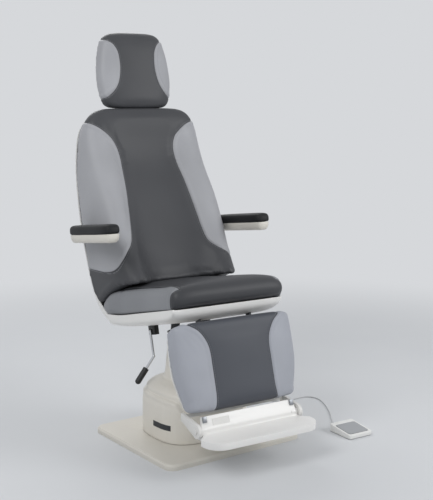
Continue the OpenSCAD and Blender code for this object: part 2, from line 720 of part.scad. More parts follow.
module actuator_tube() color("#9a9ca0") difference() {
    translate([0, 0, tube_bottom]) cylinder(h = tube_top - tube_bottom, d = actuator_d);
    translate([0, 0, rod_bottom - cut]) cylinder(h = tube_top, d = rod_d + 2 * running_gap);
}

module actuator_rod() color("#d5d7da") translate([0, 0, rod_bottom + bolt_depth])
    cylinder(h = head_bottom - rod_bottom - bolt_depth, d = rod_d);

module spindle_nut() color("#77797c")
    ring(yoke_top + seat_clearance, nut_h, nut_d / 2, spindle_d / 2);

module column_head() color("#a9abae") {
    translate([0, 0, head_bottom]) cylinder(h = head_t, d = head_d);
    translate([0, 0, head_bottom]) cylinder(h = spindle_l, d = spindle_d);
}

module control_box() color("#4a4c4f") based()
    translate([box_x - box_w / 2, box_y, plate_top]) cube([box_w, box_d, box_h]);

module mains_inlet() color("#2c2d2f") based() translate([inlet_x, skirt_back, inlet_z]) difference() {
    rotate([90, 0, 0]) linear_extrude(inlet_t, center = true)
        rounded_square(inlet_w, inlet_h, cover_wall);
    translate([0, inlet_t / 2, 0]) cube([inlet_w / 2, inlet_t, inlet_h / 2], center = true);
}

module cord_gland() color("#c4c5c6") based() translate([gland_x, gland_y, gland_z])
    rotate([-90, 0, 0]) cylinder(h = gland_l, d1 = gland_d, d2 = gland_d / 2);

// Swivel head

module thrust_washer() color("#2f3032")
    ring(head_top, washer_t, head_d / 2, spindle_d / 2 + running_gap);

module swivel_yoke() color("#5c5f63") difference() {
    union() {
        translate([0, 0, washer_top]) linear_extrude(head_t)
            rounded_square(2 * yoke_plate_half_w, 2 * yoke_plate_reach, yoke_corner);
        for (side = [-1, 1]) bar(side * (yoke_gap + ear_t) / 2, ear_t) {
            translate([tilt_y, tilt_z]) circle(ear_r);
            polygon([[tilt_y - ear_foot / 2, yoke_top - head_t / 2],
                [tilt_y + ear_foot / 2, yoke_top - head_t / 2],
                [tilt_y + ear_r, tilt_z], [tilt_y - ear_r, tilt_z]]);
        }
    }
    translate([0, 0, washer_top - cut]) cylinder(h = head_t + 2 * cut, d = spindle_running_d);
    pin(0, tilt_y, tilt_z, yoke_gap + 2 * ear_t + 2 * cut, tilt_shaft_d);
}

module hood_form(inset, rise) stacked([for (s = hood_shares) oval(hood_half_w * s[1] - inset,
    hood_reach * s[2] - inset, hood_reach * s[2] - inset,
    hood_foot + (hood_top - hood_foot) * s[0] + (s[0] > 0 ? -inset * s[0] : -rise),
    hood_squareness, 32)]);

module head_cover() color("#ebe9e4") difference() {
    hood_form(0, 0);
    hood_form(hood_wall, cut);
    translate([0, 0, hood_top - 2 * hood_wall]) {
        for (side = [-1, 1])
            translate([side * (yoke_gap + ear_t) / 2, tilt_y, 0])
                linear_extrude(3 * hood_wall) square([ear_t + 2 * seat_clearance,
                    ear_foot + 2 * seat_clearance], center = true);
        cylinder(h = 3 * hood_wall, d = head_d / 2);
    }
}

module tilt_shaft() color("#c9cbce") pin(0, tilt_y, tilt_z, tilt_shaft_l, tilt_shaft_d);

// Seat and back

back_stations = [for (s = back_shell_shares)
    [back_line_y - back_reach * s[1], back_foot + back_h * s[0],
    back_line_y - back_reach * s[3], back_foot + back_h * s[2], back_half_w * s[4], s[5]]];
pan_stations = [for (s = pan_shares) let (e = seat_point(pan_l * s[0] - pan_front, seat_t * s[1] / 2),
    d = seat_point(pan_l * s[2] - pan_front, pan_depth * s[3]))
    [e[0], e[1], d[0], d[1], seat_half_w * s[4], s[5]]];
function below_edge(s, depth) = let (e = [s[0], s[1]], d = [s[2], s[3]])
    e + (d - e) / norm(d - e) * depth;

module back_shell() color("#f0efed") difference() {
    shell_form(concat(back_stations, [pan_stations[0]]), shell_wall, 16);
    posts(post_d + 2 * post_hole_gap);
    both_sides() pin(arm_x - arm_w / 2, arm_stud_y, arm_stud_z, arm_w, arm_shaft_d);
}

module seat_pan() color("#f2f1ef") difference() {
    shell_form(pan_stations, shell_wall, 16);
    seated() {
        translate([0, (hole_front + hole_back) / 2, -2 * pan_depth])
            linear_extrude(2 * pan_depth - frame_t)
            rounded_square(2 * hole_half_w, hole_back - hole_front, hole_corner);
        both_sides() translate([leg_lug_x - lug_t / 2 - lug_gap, leg_place[0] - leg_lug_r - lug_gap,
            -2 * pan_depth])
            cube([lug_t + 2 * lug_gap, 2 * (leg_lug_r + lug_gap), 2 * pan_depth - frame_t]);
    }
}

module seat_frame() color("#3b3d40") difference() {
    union() {
        seated() {
            translate([0, (frame_back - frame_front) / 2, -board_t - frame_t]) linear_extrude(frame_t)
                rounded_square(2 * frame_half_w, frame_front + frame_back, upright_t);
            both_sides() {
                bar(yoke_gap / 2 + ear_t + lug_gap + lug_t / 2, lug_t)
                    lug_profile(tilt_place, ear_r, -board_t - frame_t / 2);
                bar(leg_lug_x, lug_t) lug_profile(leg_place, leg_lug_r, -board_t - frame_t / 2);
            }
        }
        uprights();
    }
    pin(0, tilt_y, tilt_z, 2 * tilt_shaft_l, tilt_shaft_d + 2 * running_gap);
    pin(0, -leg_hinge_y, leg_hinge_z, 2 * leg_lug_x + 2 * lug_t, leg_shaft_d);
}

module uprights() {
    line = concat([for (i = [upright_top:len(back_stations) - 1]) back_stations[i]],
        [pan_stations[0], pan_stations[1]]);
    both_sides() bar(upright_x, upright_w) polygon(concat(
        [for (s = line) below_edge(s, board_t)],
        [for (i = [len(line) - 1:-1:0]) below_edge(line[i], board_t + upright_t)]));
}

module seat_board() color("#b98d5c") seated()
    translate([0, (board_back - frame_front) / 2, -board_t]) linear_extrude(board_t - soft_gap / 2)
        rounded_square(2 * (seat_half_w - board_inset), frame_front + board_back, board_corner);

seat_l = seat_front + seat_back;
function seat_row(s) = let (e = seat_point(seat_l * s[0] - seat_front, seat_t * s[1]),
    d = seat_point(seat_l * s[2] - seat_front, seat_t * s[3]))
    [e[0], e[1], d[0], d[1], seat_half_w * s[4], 0];
module seat_cushion() color("#5a5b5e")
    pad_form([for (s = seat_pad_shares) seat_row(s)], seat_squareness, 16);

function back_row(s) = [back_line_y - back_reach * s[1], back_foot + back_h * s[0],
    back_line_y - back_reach * s[3], back_foot + back_h * s[2], back_half_w * s[4], wing_reach * s[5]];
module back_cushion() color("#4f4f53")
    pad_form([for (s = back_pad_shares) back_row(s)], pad_squareness, 18);

// Headrest, its posts and the guides that they slide in

module along_posts() translate([0, post_y, back_top]) rotate([-post_lean, 0, 0]) children();
module posts(d) along_posts() for (side = [-1, 1])
    translate([side * post_spread / 2, 0, -post_below]) cylinder(h = post_below + post_above, d = d);

module headrest_guides() color("#2f3032") along_posts() difference() {
    union() {
        for (side = [-1, 1]) translate([side * post_spread / 2, 0, -guide_drop - guide_l])
            cylinder(h = guide_l, d = post_d + 2 * guide_wall);
        translate([0, 0, -guide_drop - guide_l / 2])
            cube([2 * upright_x - upright_w, guide_plate_t, guide_plate_h], center = true);
    }
    for (side = [-1, 1]) translate([side * post_spread / 2, 0, -guide_drop - guide_l - cut])
        cylinder(h = guide_l + 2 * cut, d = post_d + 2 * running_gap);
}

headrest_bar_y = headrest_foot_y + headrest_bar_up * sin(headrest_lean)
    + headrest_bar_back * cos(headrest_lean);
headrest_bar_z = headrest_foot_z + headrest_bar_up * cos(headrest_lean)
    - headrest_bar_back * sin(headrest_lean);

module headrest_posts() color("#c9cbce") {
    posts(post_d);
    pin(0, headrest_bar_y, headrest_bar_z, post_spread + post_block, headrest_bar_d);
    for (side = [-1, 1]) bar(side * post_spread / 2, post_block)
        link_profile([post_y + post_above * sin(post_lean), back_top + post_above],
            [headrest_bar_y, headrest_bar_z], post_d / 2 + seat_clearance);
}

// Headrest frame: v runs up and w runs forward from the line where cushion and shell meet
function headrest_point(v, w) = [headrest_foot_y + v * sin(headrest_lean) - w * cos(headrest_lean),
    headrest_foot_z + v * cos(headrest_lean) + w * sin(headrest_lean)];
function headrest_row(s, depth) = let (e = headrest_point(headrest_h * s[0], 0),
    d = headrest_point(headrest_h * s[2], depth * s[3]))
    [e[0], e[1], d[0], d[1], headrest_half_w * s[4], len(s) > 5 ? s[5] : 0];

module headrest_shell() color("#ededeb") difference() {
    union() {
        difference() {
            shell_form([for (s = headrest_shell_shares) headrest_row(s, headrest_shell_t)],
                shell_wall, 16);
            for (side = [-1, 1]) translate([side * post_spread / 2, headrest_bar_y, headrest_bar_z])
                rotate([-headrest_lean, 0, 0]) translate([-post_slot / 2, -headrest_bar_d / 2,
                    -headrest_h]) cube([post_slot, headrest_shell_t * 2, headrest_h + headrest_bar_d]);
        }
        for (side = [-1, 1]) {
            pin(side * bearing_x, headrest_bar_y, headrest_bar_z, bearing_l, bearing_d);
            bar(side * bearing_x, bearing_l) polygon([
                headrest_point(headrest_bar_up - bearing_d / 2, -headrest_bar_back),
                headrest_point(headrest_bar_up + bearing_d / 2, -headrest_bar_back),
                headrest_point(headrest_bar_up + bearing_d / 2, bearing_foot),
                headrest_point(headrest_bar_up - bearing_d / 2, bearing_foot)]);
        }
    }
    pin(0, headrest_bar_y, headrest_bar_z, post_spread, headrest_bar_d + 2 * running_gap);
}

module headrest_cushion() color("#55565a")
    pad_form([for (s = headrest_pad_shares) headrest_row(s, headrest_t)], headrest_squareness, 12);

// Armrests

module arm_side(side) scale_x(side) translate([arm_x, 0, 0]) children();
module arm_place() translate([0, arm_pivot_y, arm_pivot_z]) rotate([-arm_rise, 0, 0])
    translate([0, arm_rear - arm_l / 2, arm_body_floor]) children();
module arm_form(shares, h) stacked([for (s = shares) oval(arm_w / 2 * s[1], arm_l / 2 * s[2],
    arm_l / 2 * s[2], h * s[0], arm_squareness, 28)]);

module armrest_body(side) color("#efeeec") arm_side(side) difference() {
    arm_place() arm_form(arm_body_shares, arm_body_h);
    pin(-arm_shaft_d / 2, arm_pivot_y, arm_pivot_z, arm_w - arm_shaft_d, arm_shaft_d + 2 * running_gap);
}
module armrest_pad(side) color("#333335") arm_side(side) arm_place()
    translate([0, 0, arm_body_h]) arm_form(arm_pad_shares, arm_pad_t);
module armrest_body_left() armrest_body(-1);
module armrest_body_right() armrest_body(1);
module armrest_pad_left() armrest_pad(-1);
module armrest_pad_right() armrest_pad(1);

arm_plate_x = back_half_w + arm_plate_gap + arm_plate_t / 2;
module armrest_bracket(side) color("#b9bbbd") scale_x(side) {
    bar(arm_plate_x, arm_plate_t) link_profile([arm_pivot_y, arm_pivot_z], [arm_stud_y, arm_stud_z],
        arm_plate_r);
    shaft_end = arm_x + arm_w / 2 - 2 * arm_shaft_d;
    pin((arm_plate_x + shaft_end) / 2, arm_pivot_y, arm_pivot_z, shaft_end - arm_plate_x, arm_shaft_d);
    collar_end = arm_x - arm_w / 2 - arm_collar_gap;
    pin((arm_plate_x + collar_end) / 2, arm_pivot_y, arm_pivot_z, collar_end - arm_plate_x,
        arm_collar_d);
    pin(arm_plate_x - arm_stud_in / 2, arm_stud_y, arm_stud_z, arm_stud_in,
        arm_shaft_d - 2 * seat_clearance);
}
module armrest_bracket_left() armrest_bracket(-1);
module armrest_bracket_right() armrest_bracket(1);

// Brake lever under the seat

lever_place = seat_slope(lever_y, lever_z);
module brake_block() color("#2d2e30") difference() {
    seated() translate([brake_x - brake_w / 2, lever_place[0] - brake_l / 2,
        -pan_depth - brake_gap - brake_h])
        cube([brake_w, brake_l, brake_h]);
    pin(brake_x, lever_y, lever_z, brake_w + 2 * cut, lever_rod_d + 2 * running_gap);
}

lever_top = [lever_x, lever_y, lever_z];
lever_bend = [lever_x, lever_y - lever_forward, lever_z - lever_drop];
function lever_point(l) = lever_bend - [sin(lever_slant), 0, cos(lever_slant)] * l;
module lever_rod() color("#d4d6d9") {
    rod([brake_x + brake_w / 2, lever_y, lever_z], lever_top, lever_rod_d);
    translate(lever_top) sphere(d = lever_rod_d * elbow_share);
    rod(lever_top, lever_bend, lever_rod_d);
    translate(lever_bend) sphere(d = lever_rod_d * elbow_share);
    rod(lever_bend, lever_point(lever_reach - grip_d / 2), lever_rod_d);
}
module lever_grip() color("#1f2021")
    aimed(lever_point(lever_reach - grip_l), lever_point(lever_reach)) difference() {
        rotate_extrude() difference() {
            union() {
                translate([0, grip_l - grip_d / 2]) circle(d = grip_d);
                square([grip_d / 2, grip_l - grip_d / 2]);
            }
            translate([-grip_d, 0]) square([grip_d, grip_l + cut]);
        }
        translate([0, 0, -cut]) cylinder(h = grip_l - grip_d / 2 + cut, d = lever_rod_d);
    }

// Leg rest: v runs down and w runs forward from the line where cushion and tray meet

function leg_point(v, w) = [leg_line_y - v * sin(leg_lean) - w * cos(leg_lean),
    leg_line_z - v * cos(leg_lean) + w * sin(leg_lean)];
function leg_row(s, depth) = let (e = leg_point(leg_l * s[0] - leg_top_up, 0),
    d = leg_point(leg_l * s[2] - leg_top_up, depth * s[3]))
    [e[0], e[1], d[0], d[1], leg_half_w * s[4], len(s) > 5 ? s[5] : 0];
leg_frame_w = -leg_tray_t - 2 * seat_clearance;

module leg_shaft() color("#c9cbce")
    pin(0, -leg_hinge_y, leg_hinge_z, 2 * leg_lug_x + lug_t + 2 * seat_clearance, leg_shaft_d);

module leg_cushion() color("#6a6d74")
    pad_form([for (s = leg_pad_shares) leg_row(s, leg_t)], pad_squareness, 14);
module leg_tray() color("#efeeec")
    shell_form([for (s = leg_tray_shares) leg_row(s, leg_tray_t)], leg_tray_wall, 14);

module leg_frame() color("#3b3d40") difference() {
    both_sides() {
        bar(leg_bar_x, leg_bar_w) {
            translate([-leg_hinge_y, leg_hinge_z]) circle(leg_lug_r);
            polygon([leg_point(0, leg_frame_w), leg_point(0, leg_frame_w - leg_bar_t),
                leg_point(leg_foot_v, leg_frame_w - leg_bar_t), leg_point(leg_foot_v, leg_frame_w)]);
        }
    }
    pin(0, -leg_hinge_y, leg_hinge_z, 2 * (leg_bar_x + leg_bar_w), leg_shaft_d + 2 * running_gap);
}

// The two plates that carry the footrest, and the bar that joins them under the leg rest
bracket_top = foot_pivot_z + bracket_rise;
bracket_waist = foot_pivot_z + bracket_r / 2;
module bracket_plate() bar(bracket_x, bracket_t) {
    translate([-foot_pivot_y, foot_pivot_z]) circle(bracket_r);
    polygon([[-foot_pivot_y, foot_pivot_z - bracket_r],
        [-foot_pivot_y + bracket_rear, bracket_waist],
        [-foot_pivot_y + bracket_rear, bracket_top],
        [-foot_pivot_y, foot_pivot_z + bracket_r]]);
}
module footrest_bracket() color("#e4e4e2") difference() {
    union() {
        bar(0, 2 * bracket_x) polygon([leg_point(leg_foot_v, leg_frame_w + seat_clearance),
            leg_point(leg_foot_v, leg_frame_w - leg_bar_t),
            leg_point(leg_foot_v + cross_h, leg_frame_w - leg_bar_t),
            leg_point(leg_foot_v + cross_h, leg_frame_w + seat_clearance)]);
        both_sides() bracket_plate();
    }
    pin(0, -foot_pivot_y, foot_pivot_z, 2 * (bracket_x + bracket_t), foot_pin_d);
}

module footrest_pins() color("#b3b5b8") both_sides() {
    inner = bracket_x - bracket_t / 2 - foot_boss_l;
    outer = bracket_x + bracket_t / 2;
    pin((inner + outer) / 2, -foot_pivot_y, foot_pivot_z, outer - inner, foot_pin_d);
    pin(outer + latch_t / 2, -foot_pivot_y, foot_pivot_z, latch_t, 2 * foot_pin_d);
}

function arc(x, y, r, from, to, steps) = [for (i = [0:steps])
    let (a = from + (to - from) * i / steps) [x + r * cos(a), y + r * sin(a)]];
tread_side = tread_half_w - tread_corner;
tread_front = -foot_pivot_y - tread_d;
tread_top = foot_pivot_z - tread_drop;
module tread_half() polygon(concat([[-cut, -foot_pivot_y + foot_panel_front],
    [-cut, tread_front]], arc(tread_side, tread_front + tread_corner, tread_corner, -90, 0, 8),
    [[tread_half_w, -foot_pivot_y - bracket_r - tread_shoulder],
    [foot_half_w, -foot_pivot_y - bracket_r - foot_gap],
    [foot_half_w, -foot_pivot_y + foot_panel_front]]));

panel_top = foot_panel_h - foot_panel_front;
panel_top_half_w = foot_half_w - foot_panel_taper;
boss_x = bracket_x - bracket_t / 2 - foot_boss_l / 2;
module on_panel() translate([0, -foot_pivot_y - foot_panel_front, foot_pivot_z])
    rotate([90 - foot_panel_lean, 0, 0]) children();

module footrest() color("#f1f1ef") difference() {
    union() {
        translate([0, 0, tread_top - tread_t]) linear_extrude(tread_t) both_sides() tread_half();
        on_panel() translate([0, 0, -foot_panel_t]) linear_extrude(foot_panel_t)
            polygon([[-foot_half_w, -foot_panel_t], [foot_half_w, -foot_panel_t],
                [panel_top_half_w, panel_top], [-panel_top_half_w, panel_top]]);
        both_sides() pin(boss_x - foot_gap, -foot_pivot_y, foot_pivot_z, foot_boss_l, foot_boss_d);
    }
    both_sides() pin(boss_x, -foot_pivot_y, foot_pivot_z, foot_boss_l + 2 * cut,
        foot_pin_d + 2 * running_gap);
}

module footrest_latches() color("#8c8e90") on_panel() for (side = [-1, 1])
    translate([side * latch_x - latch_w / 2, panel_top - latch_h, 0]) linear_extrude(latch_t)
        square([latch_w, latch_h]);

// Foot switch: a wedge with a rocker across its slope

module switch_place() translate([switch_x, switch_y, 0]) children();
switch_slope = atan((switch_h - switch_front_h) / switch_d);
function switch_level(y) = switch_foot_t + switch_front_h + (y + switch_d / 2) * tan(switch_slope);

module switch_body() color("#e6e6e4") switch_place() difference() {
    intersection() {
        translate([0, 0, switch_foot_t]) linear_extrude(switch_h)
            rounded_square(switch_w, switch_d, switch_corner);
        bar(0, switch_w + 2 * cut) polygon([[-switch_d, 0], [switch_d, 0],
            [switch_d, switch_level(switch_d)],
            [-switch_d, switch_level(-switch_d)]]);
    }
    rocker_slab(rocker_gap, 2 * rocker_t, -rocker_t - rocker_gap);
}

// Slab that follows the switch's slope, from a depth below its top face
module on_slope() translate([0, rocker_y, switch_level(rocker_y)]) rotate([switch_slope, 0, 0])
    children();
module rocker_slab(grow, h, drop) on_slope() translate([0, 0, drop]) linear_extrude(h)
    rounded_square(switch_w - 2 * switch_corner + 2 * grow, rocker_d + 2 * grow, switch_corner);

module switch_rocker() color("#a3a5a8") switch_place() {
    rocker_slab(0, rocker_t, rocker_gap - rocker_t);
    on_slope() translate([0, rocker_d / 2, rocker_pin_d / 2 - rocker_t - rocker_gap])
        rotate([90, 0, 0]) cylinder(h = rocker_d, d = rocker_pin_d);
}

module switch_feet() color("#1e1f20") switch_place() for (x = [-1, 1], y = [-1, 1])
    translate([x * (switch_w / 2 - switch_foot_d), y * (switch_d / 2 - switch_foot_d), 0])
        cylinder(h = switch_foot_t, d = switch_foot_d);

module switch_gland() color("#d0d1d2") switch_place() translate([0, switch_d / 2, switch_gland_z])
    rotate([-90, 0, 0]) cylinder(h = gland_l, d1 = gland_d, d2 = gland_d / 2);

// Cord

function unit(v) = v / norm(v);

// Tube along points, with the same number of flat sides all along
module tube(path, r, sides) {
    n = len(path);
    stacked([for (i = [0:n - 1]) let (t = unit(path[min(n - 1, i + 1)] - path[max(0, i - 1)]),
        u = unit(cross(t, [0, 0, 1])), v = cross(u, t))
        [for (k = [sides - 1:-1:0]) let (a = 360 * (k + 0.5) / sides)
            path[i] + (u * cos(a) + v * sin(a)) * r]]);
}
function smooth_route(route) = [for (i = [0:cord_steps * (len(route) - 1)])
    row_at(route, i / cord_steps)];

function turned(p, a) = [p[0] * cos(a) - p[1] * sin(a), p[0] * sin(a) + p[1] * cos(a), p[2]];
gland_end = turned([gland_x, gland_y + gland_l + seat_clearance, gland_z], base_turn);
switch_end = [switch_x, switch_y + switch_d / 2 + gland_l + seat_clearance, switch_gland_z];
module cord_base_run() color("#cfd0d1")
    tube(smooth_route(concat([gland_end], base_route, [coil_path[len(coil_path) - 1]])),
        cord_r, cord_sides);
module cord_switch_run() color("#cfd0d1")
    tube(smooth_route(concat([coil_path[0]], switch_route, [switch_end])), cord_r, cord_sides);

// The coil winds in along the floor, climbs in the half turn where it reverses, and winds
// out again on top
coil_wound = 360 * coil_turns;
coil_sweep = 2 * coil_wound + 180;
function coil_point(a) = let (
    r = a < coil_wound ? coil_out - (coil_out - coil_in) * a / coil_wound
        : a < coil_wound + 180 ? coil_in
        : coil_in + (coil_out - coil_in) * (a - coil_wound - 180) / coil_wound,
    climb = min(1, max(0, (a - coil_wound) / 180)))
    [coil_x + r * cos(a), coil_y + r * sin(a), cord_r + coil_layer * (1 - cos(180 * climb)) / 2];
coil_steps = coil_rings * coil_sweep / 360;
coil_path = concat([coil_point(0) - [0, cord_d, 0]],
    [for (i = [0:coil_steps]) coil_point(coil_sweep * i / coil_steps)],
    [coil_point(coil_sweep) - [0, cord_d, 0]]);
coil_gap = min([for (i = [0:len(coil_path) - 1], j = [i + coil_rings / 2:1:len(coil_path) - 1])
    norm(coil_path[i] - coil_path[j])]) - cord_d;
echo(coil_gap = coil_gap);

module cord_coil() color("#cfd0d1") tube(coil_path, cord_r, coil_sides);

base_plate();
base_cover();
fixed_column();
flange_bolts_set();
upper_bush();
lift_motor();
actuator_tube();
control_box();
mains_inlet();
cord_gland();
moving_column();
lower_bush();
actuator_rod();
column_head();
spindle_nut();
thrust_washer();
swivel_yoke();
head_cover();
tilt_shaft();
seat_frame();
seat_board();
seat_pan();
back_shell();
seat_cushion();
back_cushion();
headrest_guides();
armrest_bracket_left();
armrest_bracket_right();
brake_block();
leg_shaft();
lever_rod();
lever_grip();
headrest_posts();
headrest_shell();
headrest_cushion();
armrest_body_left();
armrest_pad_left();
armrest_body_right();
armrest_pad_right();
leg_frame();
leg_tray();
leg_cushion();
footrest_bracket();
footrest_pins();
footrest();
footrest_latches();
switch_body();
switch_rocker();
switch_feet();
switch_gland();
cord_base_run();
cord_coil();
cord_switch_run();
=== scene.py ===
import json
import math

import bpy
import numpy as np
from mathutils.bvhtree import BVHTree
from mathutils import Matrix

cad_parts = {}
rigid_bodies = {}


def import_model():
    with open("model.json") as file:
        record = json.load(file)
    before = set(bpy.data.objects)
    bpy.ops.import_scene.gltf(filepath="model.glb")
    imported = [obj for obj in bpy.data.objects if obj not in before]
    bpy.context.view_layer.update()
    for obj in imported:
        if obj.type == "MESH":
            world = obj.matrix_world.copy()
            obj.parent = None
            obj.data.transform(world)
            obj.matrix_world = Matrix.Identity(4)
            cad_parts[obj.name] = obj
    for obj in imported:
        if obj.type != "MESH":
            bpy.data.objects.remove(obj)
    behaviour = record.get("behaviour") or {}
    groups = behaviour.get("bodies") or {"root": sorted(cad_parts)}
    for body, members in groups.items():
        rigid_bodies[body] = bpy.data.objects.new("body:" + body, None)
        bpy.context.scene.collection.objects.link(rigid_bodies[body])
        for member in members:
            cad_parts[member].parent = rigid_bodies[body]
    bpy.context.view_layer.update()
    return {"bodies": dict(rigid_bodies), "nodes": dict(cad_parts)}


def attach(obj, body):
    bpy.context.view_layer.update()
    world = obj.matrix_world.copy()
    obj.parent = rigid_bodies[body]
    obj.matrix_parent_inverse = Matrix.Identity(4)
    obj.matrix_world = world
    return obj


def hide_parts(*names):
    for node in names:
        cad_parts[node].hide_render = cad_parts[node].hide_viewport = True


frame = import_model()


# ---------------------------------------------------------------- Studio and camera
# A pale paper floor under three soft boxes, in pale air. The camera stands in front and to
# the left of the chair, above its armrests. Left and right are as seen from the front.

def linear(code):
    """sRGB hex colour as linear RGBA."""
    parts = [int(code[i:i + 2], 16) / 255 for i in (1, 3, 5)]
    parts = [c / 12.92 if c <= 0.04045 else ((c + 0.055) / 1.055) ** 2.4 for c in parts]
    return (*parts, 1.0)


def add(tree, kind, inputs=None, **settings):
    """A node with its settings, its values and its links."""
    made = tree.nodes.new("ShaderNode" + kind)
    for name, value in settings.items():
        setattr(made, name, value)
    for socket, value in (inputs or {}).items():
        if isinstance(value, bpy.types.NodeSocket):
            tree.links.new(value, made.inputs[socket])
        else:
            made.inputs[socket].default_value = value
    return made


def background_rays(tree):
    """1 for the rays that show the background: from the camera, a reflection or clear glass."""
    ray = add(tree, "LightPath").outputs
    seen = add(tree, "Math", {0: ray["Is Camera Ray"], 1: ray["Is Glossy Ray"]},
               operation="MAXIMUM")
    seen = add(tree, "Math", {0: seen.outputs["Value"], 1: ray["Is Transmission Ray"]},
               operation="MAXIMUM")
    return seen.outputs["Value"]


CAMERA_AT = (-1.7994, -2.9659, 1.2296)
CAMERA_TURN, CAMERA_DIP = -32.458, 8.79
LENS_MM, FILM_MM = 69.97, 36.0

bpy.ops.object.camera_add(location=CAMERA_AT, rotation=(
    math.radians(90 - CAMERA_DIP), 0, math.radians(CAMERA_TURN)))
camera = bpy.context.object
camera.data.sensor_fit = "VERTICAL"
camera.data.sensor_height = FILM_MM
camera.data.lens = LENS_MM
bpy.context.scene.camera = camera

# Matt background paper: even and pale. From 1.5 m to 3.4 m away it fades into the pale air.
BACKGROUND = "#d6d8db"
PAPER_SIZE, PAPER_LIT, PAPER_GONE = 14, 1.5, 3.4
paper = bpy.data.materials.new("studio_paper")
paper.use_nodes = True
tree = paper.node_tree
place = add(tree, "TexCoord").outputs["Object"]
mottle = add(tree, "TexNoise", {"Scale": 3.0, "Detail": 2.0, "Vector": place})
tone = add(tree, "MixRGB", {"Fac": mottle.outputs["Fac"], "Color1": linear("#d3d5d8"),
                            "Color2": linear("#d6d8da")})
lit = tree.nodes["Principled BSDF"]
lit.inputs["Roughness"].default_value = 0.9
tree.links.new(tone.outputs["Color"], lit.inputs["Base Color"])
away = add(tree, "VectorMath", {0: place}, operation="LENGTH")
fade = add(tree, "MapRange", {"Value": away.outputs["Value"], "From Min": PAPER_LIT,
                              "From Max": PAPER_GONE}, interpolation_type="SMOOTHSTEP")
share = add(tree, "Math", {0: fade.outputs["Result"], 1: background_rays(tree)},
            operation="MULTIPLY")
glow = add(tree, "Emission", {"Color": linear(BACKGROUND), "Strength": 1.0})
both = add(tree, "MixShader", {0: share.outputs["Value"], 1: lit.outputs["BSDF"],
                               2: glow.outputs["Emission"]})
tree.links.new(both.outputs["Shader"], tree.nodes["Material Output"].inputs["Surface"])

bpy.ops.mesh.primitive_plane_add(size=PAPER_SIZE, location=(0, 0, 0))
floor = bpy.context.object
floor.name = "paper_floor"
floor.data.materials.append(paper)

WORLD_STRENGTH = 0.5
world = bpy.data.worlds.new("studio_air")
world.use_nodes = True
tree = world.node_tree
air = tree.nodes["Background"]
air.inputs["Color"].default_value = linear("#eceef1")
air.inputs["Strength"].default_value = WORLD_STRENGTH
behind = add(tree, "Background", {"Color": linear(BACKGROUND), "Strength": 1.0})
both = add(tree, "MixShader", {0: background_rays(tree), 1: air.outputs["Background"],
                               2: behind.outputs["Background"]})
tree.links.new(both.outputs["Shader"], tree.nodes["World Output"].inputs["Surface"])
bpy.context.scene.world = world

# Soft boxes: place, where each points, edge length in metres and power in watts
SOFT_BOXES = (((-2.6, -1.2, 2.9), (0, 0, 0.7), 1.6, 44.0),
              ((2.3, -2.7, 2.0), (0, 0, 0.6), 1.8, 52.0),
              ((0.4, 2.2, 2.8), (0, 0.2, 0.9), 1.6, 30.0))
for place, target, edge, power in SOFT_BOXES:
    bpy.ops.object.light_add(type="AREA", location=place)
    box = bpy.context.object
    box.data.size = edge
    box.data.energy = power
    aim = np.array(target) - np.array(place)
    box.rotation_euler = (math.acos(-aim[2] / np.linalg.norm(aim)), 0,
                          math.atan2(aim[1], aim[0]) - math.pi / 2)

bpy.context.scene.view_settings.view_transform = "Standard"


# ---------------------------------------------------------------- Foot switch's cord
# One round PVC cord of 5 mm. It leaves the gland at the back of the base, lies over the
# plate, is wound in a small coil behind it and runs on along the floor to the foot switch.

# A finish changes its tone and gloss slowly, over about 90 mm. Its grit is drawn at 1 to 3 mm,
# coarser than the real 0.1 to 0.3 mm, so that it shows.
PATCH_MM = 90
ROUGH_SPREAD = 0.04


def finish(name, colour, roughness, grit_mm, relief, other, **sockets):
    """A solid-coloured finish: fine surface grit and slow, faint changes to the other tone."""
    made = bpy.data.materials.new(name)
    made.use_nodes = True
    tree = made.node_tree
    surface = tree.nodes["Principled BSDF"]
    place = add(tree, "TexCoord").outputs["Object"]
    patches = add(tree, "TexNoise", {"Scale": 1000 / PATCH_MM, "Detail": 3.0, "Vector": place})
    tone = add(tree, "MixRGB", {"Fac": patches.outputs["Fac"], "Color1": linear(colour),
                                "Color2": linear(other)})
    grit = add(tree, "TexNoise", {"Scale": 1000 / grit_mm, "Detail": 2.0, "Vector": place})
    bump = add(tree, "Bump", {"Strength": relief, "Distance": grit_mm / 5000,
                              "Height": grit.outputs["Fac"]})
    rough = add(tree, "MapRange", {"Value": patches.outputs["Fac"],
                                   "To Min": roughness - ROUGH_SPREAD,
                                   "To Max": roughness + ROUGH_SPREAD})
    tree.links.new(tone.outputs["Color"], surface.inputs["Base Color"])
    tree.links.new(rough.outputs["Result"], surface.inputs["Roughness"])
    tree.links.new(bump.outputs["Normal"], surface.inputs["Normal"])
    for socket, value in sockets.items():
        surface.inputs[socket.replace("_", " ")].default_value = value
    return made


def smooth_route(points, steps):
    """Catmull-Rom line through the points, in as many steps between each two."""
    line = []
    for i in range(steps * (len(points) - 1) + 1):
        k = min(i // steps, len(points) - 2)
        f = i / steps - k
        before, a, b, after = (np.array(points[j]) for j in
                               (max(0, k - 1), k, k + 1, min(len(points) - 1, k + 2)))
        line.append(a * (2 * f ** 3 - 3 * f ** 2 + 1)
                    + (b - before) / 2 * (f ** 3 - 2 * f ** 2 + f)
                    + b * (3 * f ** 2 - 2 * f ** 3)
                    + (after - a) / 2 * (f ** 3 - f ** 2))
    return line


MM = 0.001
CORD_D = 5 * MM
